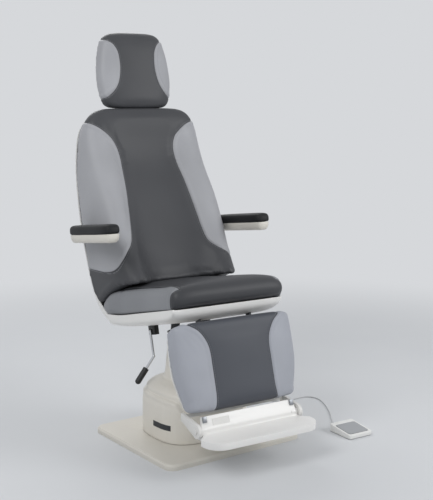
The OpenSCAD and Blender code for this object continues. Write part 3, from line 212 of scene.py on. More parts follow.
# The routes in mm. The cord's middle lies 2.5 mm above the floor.
ON_FLOOR = 2.5
GLAND_END = (49.791, 201.515, 44)
BASE_ROUTE = ((49.6, 204.7, 44), (49.4, 210, 43.2), (49.2, 216, 40.6), (49, 223, 35.8),
              (49, 231, 29.5), (50, 241, 24.2), (52, 252, 22.8), (54, 262, 21), (56, 270, 15),
              (59, 278, 8), (64, 286, 4), (72, 293, 2.5), (86, 300, 2.5), (106, 305, 2.5),
              (132, 307, 2.5), (160, 305, 2.5), (188, 301, 2.5), (214, 297, 2.5),
              (238, 296, 2.5), (260, 300, 2.5), (276, 309, 3), (286, 322, 4.5), (290, 335, 6.8))
SWITCH_ROUTE = ((370, 336, 2.5), (370, 322, 2.5), (374, 300, 2.5), (384, 274, 2.5),
                (400, 246, 2.5), (420, 218, 2.5), (444, 192, 2.5), (472, 170, 2.5),
                (502, 154, 2.5), (532, 146, 2.5), (560, 144, 2.5), (586, 147, 2.5),
                (608, 146, 2.5), (626, 139, 2.5), (640, 124, 2.5), (646, 102, 2.5),
                (644, 76, 2.5), (634, 46, 2.5), (616, 4, 2.5), (592, -42, 2.5), (566, -86, 2.5),
                (542, -122, 2.5), (520, -154, 2.5), (506, -176, 3), (497, -191, 5.6),
                (492.8, -201.5, 10.2), (492, -207.5, 12), (492, -211.5, 12))
SWITCH_END = (492, -214.9, 12)
# The coil: its middle, its inner and outer radius, and three turns in each of two layers
COIL_X, COIL_Y = 330, 352
COIL_IN, COIL_OUT = 20, 39.5
COIL_TURNS = 3
COIL_LAYER = 5.5
COIL_STEPS_PER_TURN = 24
COIL_LEAD = (0, 5, 0)


def coil_point(angle):
    """Winds in along the floor, climbs in the half turn where it reverses, winds out on top."""
    wound = 360 * COIL_TURNS
    if angle < wound:
        r = COIL_OUT - (COIL_OUT - COIL_IN) * angle / wound
    else:
        r = COIL_IN + (COIL_OUT - COIL_IN) * max(0, angle - wound - 180) / wound
    climb = min(1, max(0, (angle - wound) / 180))
    a = math.radians(angle)
    return (COIL_X + r * math.cos(a), COIL_Y + r * math.sin(a),
            ON_FLOOR + COIL_LAYER * (1 - math.cos(math.pi * climb)) / 2)


coil_sweep = 2 * 360 * COIL_TURNS + 180
coil_steps = round(COIL_STEPS_PER_TURN * coil_sweep / 360)
coil = [coil_point(coil_sweep * i / coil_steps) for i in range(coil_steps + 1)]
coil = [np.array(coil[0]) - COIL_LEAD] + coil + [np.array(coil[-1]) - COIL_LEAD]
to_coil = smooth_route([GLAND_END, *BASE_ROUTE, coil[-1]], 2)
to_switch = smooth_route([coil[0], *SWITCH_ROUTE, SWITCH_END], 2)
cord_line = np.array(to_coil[:-1] + coil[::-1] + to_switch[1:]) * MM

drawn = bpy.data.curves.new("switch_cord", "CURVE")
drawn.dimensions = "3D"
drawn.bevel_depth = CORD_D / 2
drawn.bevel_resolution = 4
spline = drawn.splines.new("POLY")
spline.points.add(len(cord_line) - 1)
for point, at in zip(spline.points, cord_line):
    point.co = (*at, 1)
cord = bpy.data.objects.new("switch_cord", drawn)
bpy.context.collection.objects.link(cord)
# Plasticised PVC: soft, slightly glossy and pale grey
pvc_jacket = finish("pvc_cord_jacket", "#cfd0d1", 0.42, 1.5, 0.15, "#c8c9cb")
drawn.materials.append(pvc_jacket)
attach(cord, "base")
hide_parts("cord_base_run", "cord_coil", "cord_switch_run")


# ---------------------------------------------------------------- Base plate
# A steel plate on the floor, powder coated in warm white, with a rounded top edge. All
# else is bolted to it.

body_of = {name: body for body, empty in frame["bodies"].items()
           for name, shown in frame["nodes"].items() if shown.parent is empty}


def only(piece):
    """Leaves this piece alone selected and active."""
    bpy.ops.object.select_all(action="DESELECT")
    piece.select_set(True)
    bpy.context.view_layer.objects.active = piece


def all_over(piece, operator, **settings):
    """Runs an edit-mode operator on the whole of a piece."""
    only(piece)
    bpy.ops.object.mode_set(mode="EDIT")
    bpy.ops.mesh.select_all(action="SELECT")
    operator(**settings)
    bpy.ops.object.mode_set(mode="OBJECT")


def applied(piece, kind, **settings):
    """Adds a modifier with its settings and applies it."""
    only(piece)
    bpy.ops.object.modifier_add(type=kind)
    step = piece.modifiers[-1]
    for name, value in settings.items():
        setattr(step, name, value)
    bpy.ops.object.modifier_apply(modifier=step.name)


def copied(node, name):
    """A CAD node's shape as a new piece, with its triangles joined to each other."""
    piece = bpy.data.objects.new(name, frame["nodes"][node].data.copy())
    bpy.context.collection.objects.link(piece)
    piece.data.materials.clear()
    only(piece)
    if piece.data.has_custom_normals:
        bpy.ops.mesh.customdata_custom_splitnormals_clear()
    all_over(piece, bpy.ops.mesh.remove_doubles, threshold=0.02 * MM)
    return piece


def placed(piece, node, material):
    """Finishes a piece: its material, its body, and the CAD node it stands for."""
    piece.data.materials.append(material)
    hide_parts(node)
    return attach(piece, body_of[node])


def eased(node, name, edge_mm, material, steps=2, angle=32):
    """A rigid part as made: its flats whole, its sharp edges broken by a small radius."""
    piece = copied(node, name)
    all_over(piece, bpy.ops.mesh.dissolve_limited, angle_limit=math.radians(0.6))
    applied(piece, "BEVEL", width=edge_mm * MM, segments=steps, limit_method="ANGLE",
            angle_limit=math.radians(angle))
    bpy.ops.object.shade_smooth_by_angle(angle=math.radians(angle))
    return placed(piece, node, material)


# Powder coat: an even, slightly orange-peeled satin
powder_coat = finish("warm_white_powder_coat", "#dad6cd", 0.5, 2.2, 0.25, "#d3cfc6")
eased("base_plate", "base_plate_coated", 3.5, powder_coat, steps=4)


# ---------------------------------------------------------------- Base cover
# A one-piece moulded ABS housing over the lift: a broad skirt that runs up into a neck,
# with a spine down its front. Where the two forms meet the mould has a soft crease.

# ABS, warm white and satin, with a spark-eroded texture
base_abs = finish("warm_white_abs", "#e3dfd6", 0.4, 1.6, 0.2, "#dcd8cf", IOR=1.53)


def selected(piece, test):
    """Selects the faces whose centre and normal pass the test, and opens edit mode on them."""
    only(piece)
    bpy.ops.object.mode_set(mode="EDIT")
    bpy.ops.mesh.select_mode(type="FACE")
    bpy.ops.mesh.select_all(action="DESELECT")
    bpy.ops.object.mode_set(mode="OBJECT")
    for face in piece.data.polygons:
        face.select = bool(test(face.center, face.normal))
    bpy.ops.object.mode_set(mode="EDIT")


def points_of(piece):
    """The piece's points in mm, one row each."""
    flat = np.empty(3 * len(piece.data.vertices))
    piece.data.vertices.foreach_get("co", flat)
    return flat.reshape(-1, 3) * 1000


def normals_of(piece):
    """The way each of the piece's points faces."""
    flat = np.empty(3 * len(piece.data.vertices))
    piece.data.vertex_normals.foreach_get("vector", flat)
    return flat.reshape(-1, 3)


def moved(piece, points):
    """Moves the piece's points to these places in mm."""
    piece.data.vertices.foreach_set("co", (points / 1000).ravel())
    piece.data.update()


def ramp(value, start, end):
    """0 up to the start, 1 from the end on, and even between them."""
    return np.clip((value - start) / (end - start), 0, 1)


def ridge(value, middle, half_w):
    """A smooth rise to 1 at the middle."""
    return np.exp(-((value - middle) / half_w) ** 2)


COVER_MIDDLE = (0, 0.015, 0.1)
COVER_WALL = 3.5 * MM
COVER_CELL = 3.6 * MM
NECK_TOP, NECK_HOLE_R = 0.360, 0.068
SKIRT_FOOT = 0.020
cover = copied("base_cover", "base_cover_moulded")
selected(cover, lambda at, way: sum(n * (a - m) for n, a, m in zip(way, at, COVER_MIDDLE)) < 0)
bpy.ops.mesh.delete(type="FACE")
bpy.ops.object.mode_set(mode="OBJECT")
# The inner wall is off. Four open edges are closed for the remesh: the foot, the inlet, the
# gland and the neck.
for in_loop in (lambda at: at.z < 0.03, lambda at: 0.03 < at.z < 0.2 and at.x < 0,
                lambda at: 0.03 < at.z < 0.2 and at.x > 0, lambda at: at.z > 0.3):
    bpy.ops.object.mode_set(mode="EDIT")
    bpy.ops.mesh.select_mode(type="EDGE")
    bpy.ops.mesh.select_all(action="DESELECT")
    bpy.ops.mesh.select_non_manifold()
    bpy.ops.object.mode_set(mode="OBJECT")
    for edge in cover.data.edges:
        edge.select = edge.select and all(in_loop(cover.data.vertices[v].co)
                                          for v in edge.vertices)
    bpy.ops.object.mode_set(mode="EDIT")
    bpy.ops.mesh.edge_face_add()
    bpy.ops.object.mode_set(mode="OBJECT")
applied(cover, "REMESH", mode="VOXEL", voxel_size=COVER_CELL)
applied(cover, "SMOOTH", factor=0.5, iterations=5)

# The skirt's side walls end in a rounded arris, level along the sides and running down beside
# the spine at the front, with a soft hollow above it. The shoulder over it is full.
ARRIS_Z, ARRIS_CORNER = 178, 9
ARRIS_UP, HOLLOW_DEEP = 3.0, 4.8
SHOULDER_Z, SHOULDER_OUT = 203, 5
SPINE_HALF_W, SPINE_TAPER, SPINE_COS = 147, 0.4, 0.93
# This much is added behind the front, where the spine no longer counts
FAR = 300
at = points_of(cover)
below = ARRIS_Z - at[:, 2]
outside = SPINE_COS * (np.abs(at[:, 0]) - SPINE_HALF_W + SPINE_TAPER * below)
outside += FAR * ramp(at[:, 1], -60, 0)
inside = -ARRIS_CORNER * np.logaddexp(-below / ARRIS_CORNER, -outside / ARRIS_CORNER)
swell = (ARRIS_UP * ridge(inside, 7, 7) - HOLLOW_DEEP * ridge(inside, -4, 6)
         + SHOULDER_OUT * ridge(at[:, 2], SHOULDER_Z, 18) * ramp(at[:, 1], -90, -30))
swell *= ramp(at[:, 2], 30, 50)
moved(cover, at + normals_of(cover) * swell[:, None])
selected(cover, lambda at, way: way[2] < -0.7 and at[2] < SKIRT_FOOT + 4 * MM
         or way[2] > 0.7 and at[2] > NECK_TOP - 4 * MM
         and math.hypot(at[0], at[1]) < NECK_HOLE_R + 2 * MM)
bpy.ops.mesh.delete(type="FACE")
bpy.ops.object.mode_set(mode="OBJECT")
applied(cover, "SOLIDIFY", thickness=COVER_WALL, offset=-1)
placed(cover, "base_cover", base_abs)
bpy.ops.object.shade_smooth_by_angle(angle=math.radians(50))

# Blank name plate on the skirt's left side: dark anodised aluminium, with a raised rim
anodised = finish("dark_anodised_aluminium", "#4a4c50", 0.38, 1.2, 0.1, "#444649", Metallic=0.8)


def recessed(piece, rim, deep, edge, steps):
    """Sinks a piece's top inside a rim, and rounds its edges. Sizes in mm."""
    selected(piece, lambda at, way: way[2] > 0.9)
    bpy.ops.mesh.inset(thickness=rim * MM)
    bpy.ops.mesh.extrude_region_move(TRANSFORM_OT_translate={"value": (0, 0, -deep * MM)})
    bpy.ops.object.mode_set(mode="OBJECT")
    applied(piece, "BEVEL", width=edge * MM, segments=steps, limit_method="ANGLE")


def laid(piece, at, turns, material, slot, body):
    """Lays a small piece on its surface, and gives it its material and body; its slot is not
    used.
    """
    only(piece)
    piece.location = at
    piece.rotation_euler = turns
    bpy.ops.object.transform_apply(location=True, rotation=True, scale=True)
    piece.data.materials.append(material)
    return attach(piece, body)


def plate_blank(name, size, *place):
    """A thin rectangular plate with a raised rim, laid on its surface."""
    bpy.ops.object.select_all(action="DESELECT")
    bpy.ops.mesh.primitive_cube_add(size=1)
    piece = bpy.context.object
    piece.name = name
    piece.scale = size
    bpy.ops.object.transform_apply(location=False, rotation=False, scale=True)
    all_over(piece, bpy.ops.mesh.subdivide, number_cuts=7)
    recessed(piece, 1.6, 0.5, 0.5, 2)
    return laid(piece, *place)


# The cover stands turned by this angle on its plate
COVER_TURN = 3.5
BADGE_AT = (-0.1815, -0.045, 0.078)
badge = plate_blank("base_name_plate", (0.092, 0.020, 0.0024), BADGE_AT,
                    (math.radians(90), 0, math.radians(-90 + COVER_TURN)),
                    anodised, "steel", "base")
# It is bent to the skirt's wall
wall = BVHTree.FromObject(cover, bpy.context.evaluated_depsgraph_get())
at = points_of(badge)
for point in at:
    met = wall.ray_cast((-0.5, point[1] * MM, point[2] * MM), (1, 0, 0))[0]
    lean = math.tan(math.radians(COVER_TURN)) * (point[1] - BADGE_AT[1] / MM)
    point[0] += met.x / MM - BADGE_AT[0] / MM + lean
moved(badge, at)


# ---------------------------------------------------------------- Lift column and its drive
# Under the cover: a steel tube bolted to the plate, a turned ram that slides in it on two
# plastic bushes, and an electric screw actuator with its motor and control box.

def dressed(material, *nodes):
    """Gives a CAD node that stays its real finish."""
    for node in nodes:
        for place in frame["nodes"][node].material_slots:
            place.material = material


# Mild steel, turned and oiled: grey, with a broad soft highlight
turned_steel = finish("turned_mild_steel", "#8f9194", 0.34, 1.4, 0.15, "#86888b", Metallic=1.0)
# Hard chrome plate: bright and even
chrome_plate = finish("hard_chrome_plate", "#cfd1d4", 0.14, 3.0, 0.04, "#c9cbce", Metallic=1.0)
# Cast iron and steel under dark satin enamel
dark_enamel = finish("dark_grey_enamel", "#3b3d40", 0.45, 2.4, 0.25, "#36383a")
# Acetal bearing plastic: waxy black
acetal = finish("black_acetal", "#2a2b2c", 0.42, 1.2, 0.08, "#2e2f30")
# Glass-filled nylon: black, matt, with a fine spark texture
black_nylon = finish("black_nylon", "#232425", 0.55, 1.3, 0.3, "#28292a")
dressed(turned_steel, "fixed_column", "flange_bolts_set", "moving_column", "actuator_tube",
        "column_head", "spindle_nut")
dressed(chrome_plate, "actuator_rod")
dressed(dark_enamel, "lift_motor")
dressed(acetal, "upper_bush", "lower_bush", "thrust_washer")
dressed(black_nylon, "control_box")


# ---------------------------------------------------------------- Mains inlet and cord gland
# At the back of the skirt: a black appliance inlet with three flat pins, and a grey gland
# that grips the foot switch's cord.

def copies(piece, *names):
    """The piece under the first name and its copies under the others, each with its own mesh."""
    piece.name = names[0]
    made = [piece]
    for name in names[1:]:
        made.append(bpy.data.objects.new(name, piece.data.copy()))
        bpy.context.collection.objects.link(made[-1])
    return made


inlet = eased("mains_inlet", "mains_inlet_moulded", 0.8, black_nylon)
# Three nickel-plated flat pins, the earth pin higher than the other two
nickel = finish("nickel_plate", "#b4b5b3", 0.25, 1.5, 0.08, "#acada9", Metallic=1.0)
PIN_SIZE = (2 * MM, 7 * MM, 4 * MM)
PINS_AT = ((-7, 3, -1.5), (0, 3, 2), (7, 3, -1.5))
bpy.ops.object.select_all(action="DESELECT")
bpy.ops.mesh.primitive_cube_add(size=1, scale=PIN_SIZE)
pin = bpy.context.object
bpy.ops.object.transform_apply(location=False, rotation=False, scale=True)
applied(pin, "BEVEL", width=0.4 * MM, segments=2)
pins = copies(pin, "mains_inlet_pins", "earth_pin", "neutral_pin")
at = points_of(inlet)
middle = (at.min(0) + at.max(0)) / 2
for pin, offset in zip(pins, PINS_AT):
    moved(pin, points_of(pin) + middle + offset)
only(pins[0])
for pin in pins:
    pin.select_set(True)
bpy.ops.object.join()
inlet_pins = bpy.context.object
inlet_pins.data.materials.append(nickel)
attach(inlet_pins, "base")
# Nylon gland, light grey
grey_nylon = finish("light_grey_nylon", "#bfc0c2", 0.45, 1.4, 0.2, "#b9babc")
eased("cord_gland", "cord_gland_moulded", 0.9, grey_nylon)


# ---------------------------------------------------------------- Swivel yoke and its hood
# A cast yoke turns on the column's spindle and carries the tilt shaft between its ears. A
# moulded white hood hides it.

eased("swivel_yoke", "swivel_yoke_cast", 1.5, dark_enamel)
# ABS, white and semi-gloss, finely textured
white_abs = finish("white_abs", "#efeeec", 0.32, 1.8, 0.12, "#eae9e6", IOR=1.53)
eased("head_cover", "head_cover_moulded", 3.0, white_abs, 3, 40)


# ---------------------------------------------------------------- Seat frame and board
# Folded and welded steel plates, enamelled: they hang on the tilt shaft, carry the plywood
# seat board and run up inside the back shell.

dressed(turned_steel, "tilt_shaft", "leg_shaft")
eased("seat_frame", "seat_frame_welded", 1.0, dark_enamel)
# Birch plywood, its tone painted dark as shade, so that its edge between cushion and pan reads
# as the shadow line there: grain 8 mm wide and 170 mm long, coarse so that it shows
plywood_painted_dark = bpy.data.materials.new("birch_plywood_painted_as_shade")
plywood_painted_dark.use_nodes = True
tree = plywood_painted_dark.node_tree
stretched = add(tree, "Mapping", {"Vector": add(tree, "TexCoord").outputs["Object"],
                                  "Scale": (120, 6, 120)})
grain = add(tree, "TexNoise", {"Vector": stretched.outputs["Vector"], "Scale": 1.0,
                               "Detail": 4.0})
tone = add(tree, "MixRGB", {"Fac": grain.outputs["Fac"], "Color1": linear("#4a4540"),
                            "Color2": linear("#3b3733")})
tree.links.new(tone.outputs["Color"], tree.nodes["Principled BSDF"].inputs["Base Color"])
tree.nodes["Principled BSDF"].inputs["Roughness"].default_value = 0.7
dressed(plywood_painted_dark, "seat_board")


# ---------------------------------------------------------------- Seat pan and back shell
# Two thermoformed ABS shells that meet under the seat's rear. They hold the cushions, whose
# edge stands a little inside the shell's pale rim.

def fair(piece, levels, keep_angle, hold):
    """Makes a coarse moulded form round: quads, its sharper edges held, then subdivision."""
    all_over(piece, bpy.ops.mesh.tris_convert_to_quads, face_threshold=math.radians(40),
             shape_threshold=math.radians(60))
    bpy.ops.object.mode_set(mode="EDIT")
    bpy.ops.mesh.select_mode(type="EDGE")
    bpy.ops.mesh.select_all(action="DESELECT")
    bpy.ops.mesh.edges_select_sharp(sharpness=math.radians(keep_angle))
    bpy.ops.transform.edge_crease(value=hold)
    bpy.ops.object.mode_set(mode="OBJECT")
    applied(piece, "SUBSURF", levels=levels, render_levels=levels)


def shell(node, name):
    """A thermoformed shell as it leaves the mould: the CAD form without its flats."""
    piece = copied(node, name)
    fair(piece, 2, 42, 0.9)
    bpy.ops.object.shade_smooth_by_angle(angle=math.radians(45))
    return placed(piece, node, white_abs)


shell("seat_pan", "seat_pan_formed")
back_shell = shell("back_shell", "back_shell_formed")

# Button-head screws that hold the back shell, 11 mm across, each flat on the shell's rear
screw_steel = finish("zinc_plated_screw", "#9b9da0", 0.32, 1.2, 0.08, "#929497", Metallic=0.9)


def round_head(radius, height, edge, rim):
    """A round head at the origin, with a recess in its top face. Sizes in mm."""
    bpy.ops.object.select_all(action="DESELECT")
    bpy.ops.mesh.primitive_cylinder_add(vertices=32, radius=radius * MM, depth=height * MM)
    piece = bpy.context.object
    recessed(piece, rim, 0.4 * height, edge, 3)
    bpy.ops.object.shade_smooth_by_angle(angle=math.radians(40))
    return piece


SCREWS_AT = ((-140, 700), (140, 700), (-150, 1040), (150, 1040))
screws = copies(round_head(5.5, 3, 0.5, 2.4), "back_shell_screw_1", "back_shell_screw_2",
                "back_shell_screw_3", "back_shell_screw_4")
rear = BVHTree.FromObject(back_shell, bpy.context.evaluated_depsgraph_get())
for screw, (x, z) in zip(screws, SCREWS_AT):
    at, way, _, _ = rear.ray_cast((x * MM, 1.5, z * MM), (0, -1, 0))
    laid(screw, at, way.to_track_quat("Z", "Y").to_euler(), screw_steel, "steel",
         body_of["back_shell"])


# ---------------------------------------------------------------- Seat cushion
# Moulded foam under soft vinyl: charcoal on top and over the front roll, with a lighter
# panel let in along each side. The cover is sewn, so it pulls the foam in at each seam.

AT_ONCE = 8000


def beside(flat, line):
    """How far each point lies from a line, more than zero on its left, and where along it."""
    a, b = line[:-1], line[1:]
    step = b - a
    length = np.linalg.norm(step, axis=1)
    before = np.concatenate([[0], np.cumsum(length)[:-1]])
    away, along = np.empty(len(flat)), np.empty(len(flat))
    for i in range(0, len(flat), AT_ONCE):
        to = flat[i:i + AT_ONCE, None, :] - a
        f = np.clip((to * step).sum(2) / length ** 2, 0, 1)
        off = to - f[:, :, None] * step
        gap = np.linalg.norm(off, axis=2)
        near = gap.argmin(1)
        rows = np.arange(len(near))
        turn = step[near, 0] * to[rows, near, 1] - step[near, 1] * to[rows, near, 0]
        away[i:i + AT_ONCE] = gap[rows, near] * np.sign(turn)
        along[i:i + AT_ONCE] = before[near] + f[rows, near] * length[near]
    return away, along


# The cover in mm: its embossed grain is drawn at 2 mm, coarser than the real 1 mm, so that it
# shows. Stitches 5 mm long, every 7.5 mm, lie 4 mm from the seam on its dark side. Small
# puckers run out from it every 14 mm, as far as 16 mm.
GRAIN = 2.0
STITCH, STITCH_STEP, STITCH_AWAY = 5.0, 7.5, 4.0
PUCKER_STEP, PUCKER_REACH = 14, 16.0
# Where the cover is drawn tighter or has been sat on, its tone and gloss change slowly
WORN_PATCH = 180
VINYL_ROUGH, VINYL_ROUGH_SPREAD = 0.46, 0.06


def vinyl(name, dark, light):
    """Two tones of grained vinyl that meet in a sewn seam, darkened along it as painted shade,
    with a row of stitches beside it.
    """
    made = bpy.data.materials.new(name)
    made.use_nodes = True
    tree = made.node_tree
    surface = tree.nodes["Principled BSDF"]
    place = add(tree, "TexCoord").outputs["Object"]
    seam = add(tree, "Attribute", attribute_name="seam").outputs["Fac"]
    run = add(tree, "Attribute", attribute_name="run").outputs["Fac"]
    patches = add(tree, "TexNoise", {"Scale": 1000 / WORN_PATCH, "Detail": 2.0,
                                     "Vector": place})
    worn = add(tree, "MapRange", {"Value": patches.outputs["Fac"], "From Min": 0.3,
                                  "From Max": 0.7, "To Min": 0.94, "To Max": 1.05})
    side = add(tree, "MapRange", {"Value": seam, "From Min": -0.4, "From Max": 0.4})
    tone = add(tree, "MixRGB", {"Fac": side.outputs["Result"], "Color1": linear(dark),
                                "Color2": linear(light)})
    tone = add(tree, "VectorMath", {0: tone.outputs["Color"], "Scale": worn.outputs["Result"]},
               operation="SCALE")
    # Painted shade: the seam's fold is darkened in a line 2 mm wide, as the shadow in its groove
    apart = add(tree, "Math", {0: seam}, operation="ABSOLUTE").outputs["Value"]
    seam_shade = add(tree, "MapRange", {"Value": apart, "From Min": 0.6, "From Max": 1.8,
                                  "To Min": 0.35, "To Max": 1.0})
    tone = add(tree, "VectorMath", {0: tone.outputs["Vector"], "Scale": seam_shade.outputs["Result"]},
               operation="SCALE")
    beat = add(tree, "Math", {0: run, 1: STITCH_STEP}, operation="MODULO")
    sewn = add(tree, "Math", {0: beat.outputs["Value"], 1: STITCH}, operation="LESS_THAN")
    line = add(tree, "Math", {0: seam, 1: -STITCH_AWAY, 2: 0.7}, operation="COMPARE")
    thread = add(tree, "Math", {0: sewn.outputs["Value"], 1: line.outputs["Value"]},
                 operation="MULTIPLY")
    tone = add(tree, "MixRGB", {"Fac": thread.outputs["Value"], "Color1": tone.outputs["Vector"],
                                "Color2": linear("#77787b")})
    tree.links.new(tone.outputs["Color"], surface.inputs["Base Color"])
    cells = add(tree, "TexVoronoi", {"Scale": 1000 / GRAIN, "Vector": place})
    grain = add(tree, "Bump", {"Strength": 0.18, "Distance": 0.3 * MM,
                               "Height": cells.outputs["Distance"]})
    wave = add(tree, "Math", {0: run, 1: 2 * math.pi / PUCKER_STEP}, operation="MULTIPLY")
    wave = add(tree, "Math", {0: wave.outputs["Value"]}, operation="SINE")
    close = add(tree, "MapRange", {"Value": apart, "From Min": 2.0, "From Max": PUCKER_REACH,
                                   "To Min": 1.0, "To Max": 0.0})
    pucker = add(tree, "Math", {0: wave.outputs["Value"], 1: close.outputs["Result"]},
                 operation="MULTIPLY")
    puckers = add(tree, "Bump", {"Strength": 0.3, "Distance": 0.6 * MM,
                                 "Height": pucker.outputs["Value"],
                                 "Normal": grain.outputs["Normal"]})
    tree.links.new(puckers.outputs["Normal"], surface.inputs["Normal"])
    rough = add(tree, "MapRange", {"Value": patches.outputs["Fac"],
                                   "To Min": VINYL_ROUGH - VINYL_ROUGH_SPREAD,
                                   "To Max": VINYL_ROUGH + VINYL_ROUGH_SPREAD})
    tree.links.new(rough.outputs["Result"], surface.inputs["Roughness"])
    # Matt, plasticised vinyl: its highlight is weak
    surface.inputs["Specular IOR Level"].default_value = 0.3
    return made


# The seam holds the foam within 22 mm of it, the cover's pressure swells the rest
SEAM_HOLD = 22
HELD_BELOW = 0.15
COVER_PRESSURE = 4
SWELL_FRAMES = 20


def upholstered(node, name, cell_mm, cap_mm, outline, facing):
    """A foam block in its sewn cover. The CAD form, made round, swells a little between its
    seams where nothing holds it, and the cover is pulled in along them. Outline gives, for the
    piece's points, the distance from the seam and the place along it; facing gives how free
    each point is to swell, from 0 to 1."""
    pad = copied(node, name)
    fair(pad, 2, 55, 0.75)
    all_over(pad, bpy.ops.transform.shrink_fatten, value=-0.5 * MM)
    applied(pad, "REMESH", mode="VOXEL", voxel_size=cell_mm * MM)
    # The rim that meets the shell stays sharp: only what is free to swell is smoothed
    loose = pad.vertex_groups.new(name="loose")
    free = np.clip(facing(points_of(pad), normals_of(pad)) * 3, 0, 1)
    for point, weight in enumerate(free):
        loose.add([point], float(weight), "REPLACE")
    applied(pad, "SMOOTH", factor=0.5, iterations=8, vertex_group="loose")
    pad.vertex_groups.clear()
    start = points_of(pad)
    free = np.clip(facing(start, normals_of(pad)), 0, 1)
    away, along = outline(start)
    free = free * np.clip(np.abs(away) / SEAM_HOLD, 0.12, 1)
    held = pad.vertex_groups.new(name="held")
    held.add([int(i) for i in np.flatnonzero(free < HELD_BELOW)], 1.0, "REPLACE")
    bpy.ops.object.modifier_add(type="CLOTH")
    cloth = pad.modifiers[-1]
    cloth.settings.quality = 3
    cloth.settings.use_pressure = True
    cloth.settings.uniform_pressure_force = COVER_PRESSURE
    cloth.settings.effector_weights.gravity = 0
    cloth.settings.vertex_group_mass = "held"
    cloth.point_cache.frame_start = 1
    cloth.point_cache.frame_end = SWELL_FRAMES
    for step in range(SWELL_FRAMES):
        bpy.context.scene.frame_set(step + 1)
    bpy.ops.object.modifier_apply(modifier=cloth.name)
    bpy.context.scene.frame_set(1)
    pad.vertex_groups.clear()
    swell = points_of(pad) - start
    far = np.linalg.norm(swell, axis=1)
    swell *= (np.minimum(far, cap_mm) / np.maximum(far, 1e-6) * free)[:, None]
    moved(pad, start + swell)
    applied(pad, "SMOOTH", factor=0.5, iterations=3)
    applied(pad, "SUBSURF", levels=1, render_levels=1)
    # A full edge on the light panel's side of the seam, and the seam drawn in, in mm
    start = points_of(pad)
    away, along = outline(start)
    relief = 1.7 * ridge(away, 9, 6) - 2.6 * ridge(away, -0.5, 3.4)
    moved(pad, start + normals_of(pad) * relief[:, None])
    for field, values in (("seam", away), ("run", along)):
        made = pad.data.attributes.new(field, "FLOAT", "POINT")
        made.data.foreach_set("value", values.astype(np.float32))
    bpy.ops.object.shade_smooth()
    return pad


SEAT_SLOPE = math.radians(13.2)
SEAT_LINE_Z = 487


def along_seat(points):
    """Places along the seat's own slope: from its line back and up, in mm."""
    y, z = points[:, 1], points[:, 2] - SEAT_LINE_Z
    return (y * math.cos(SEAT_SLOPE) - z * math.sin(SEAT_SLOPE),
            y * math.sin(SEAT_SLOPE) + z * math.cos(SEAT_SLOPE))


# The side panel's seam, from the seat's rear over its upper edge and round the front corner
SIDE_SEAM = ((310, -12), (302, 20), (290, 46), (268, 66), (232, 82), (170, 89), (109, 90),
             (0, 87), (-100, 82), (-160, 81), (-200, 84), (-226, 86), (-240, 80), (-240, 71),
             (-230, 62), (-221, 50), (-216, 32), (-214, 12), (-213, -20))
# Nearer the chair's middle than this, the top is dark
PANEL_IN = 196
# The right panel's front seam lies this much further round the corner
RIGHT_WRAP = 7
side_seam = np.array(smooth_route(SIDE_SEAM, 5))


def seat_outline(points):
    """How far each point lies inside the side panel's seams, and where along them."""
    back, up = along_seat(points)
    away, along = beside(np.stack([back, up], 1), side_seam)
    away += RIGHT_WRAP * (points[:, 0] > 0) * ramp(back, -190, -200)
    return np.minimum(away, np.abs(points[:, 0]) - PANEL_IN), along


def seat_facing(points, ways):
    """The seat swells on top and at its front, not where it rests on the board or the shell."""
    back, up = along_seat(points)
    upward = ways @ (0, math.sin(SEAT_SLOPE), math.cos(SEAT_SLOPE))
    return (0.25 + upward) * ramp(up, 10, 26)


# The seat's light side panels are the back's grey vinyl, painted darker (#8a8c90) as painted
# shade, since its sides face away from the lamps
seat_vinyl_shaded = vinyl("charcoal_and_shaded_grey_vinyl_seat", "#414245", "#8a8c90")
seat_pad = upholstered("seat_cushion", "seat_cushion_covered", 6, 5, seat_outline,
                       seat_facing)
placed(seat_pad, "seat_cushion", seat_vinyl_shaded)


# ---------------------------------------------------------------- Back cushion
# One moulded foam back with side wings, under the same vinyl: a charcoal middle that widens
# to the full width at its foot and its top, and a light panel let in along each side.

# Each side's seam, down from the shell's rim. The left panel is cut narrower low down.
LEFT_SEAM = ((300, 1148), (240, 1144), (207, 1133), (176, 1112), (146, 1085), (127, 1052),
             (118, 1010), (121, 955), (128, 900), (141, 841), (158, 775), (173, 730), (187, 708),
             (208, 685), (229, 652), (242, 624), (254, 600), (272, 580), (310, 566))
RIGHT_SEAM = ((300, 1147), (240, 1146), (214, 1144), (195, 1140), (171, 1128), (139, 1100),
              (127, 1080), (120, 1056), (118, 1030), (122, 985), (131, 930), (136, 874),
              (142, 800), (146, 745), (152, 704), (166, 684), (186, 670), (210, 656), (234, 636),
              (256, 612), (282, 592), (310, 578))
left_seam = np.array(smooth_route(LEFT_SEAM, 4))
right_seam = np.array(smooth_route(RIGHT_SEAM, 4))


def out_and_up(points):
    """Places on an upright pad: out from its middle to either side, and up, in mm."""
    return np.stack([np.abs(points[:, 0]), points[:, 2]], 1)


def back_outline(points):
    """Each half of the back has its own seam."""
    flat = out_and_up(points)
    left = points[:, 0] < 0
    return [np.where(left, a, b) for a, b in zip(beside(flat, left_seam),
                                                 beside(flat, right_seam))]


def back_facing(points, ways):
    """The back swells forward, and is held by the shell, and by the seat at its foot."""
    above_seat = np.maximum(ramp(points[:, 2], 540, 600), 0.1)
    return (-ways[:, 1] + 0.35 * np.abs(ways[:, 0])) * above_seat


dark_vinyl = vinyl("charcoal_and_grey_vinyl", "#494a4d", "#aaabaf")
back_pad = upholstered("back_cushion", "back_cushion_covered", 7, 6, back_outline,
                       back_facing)
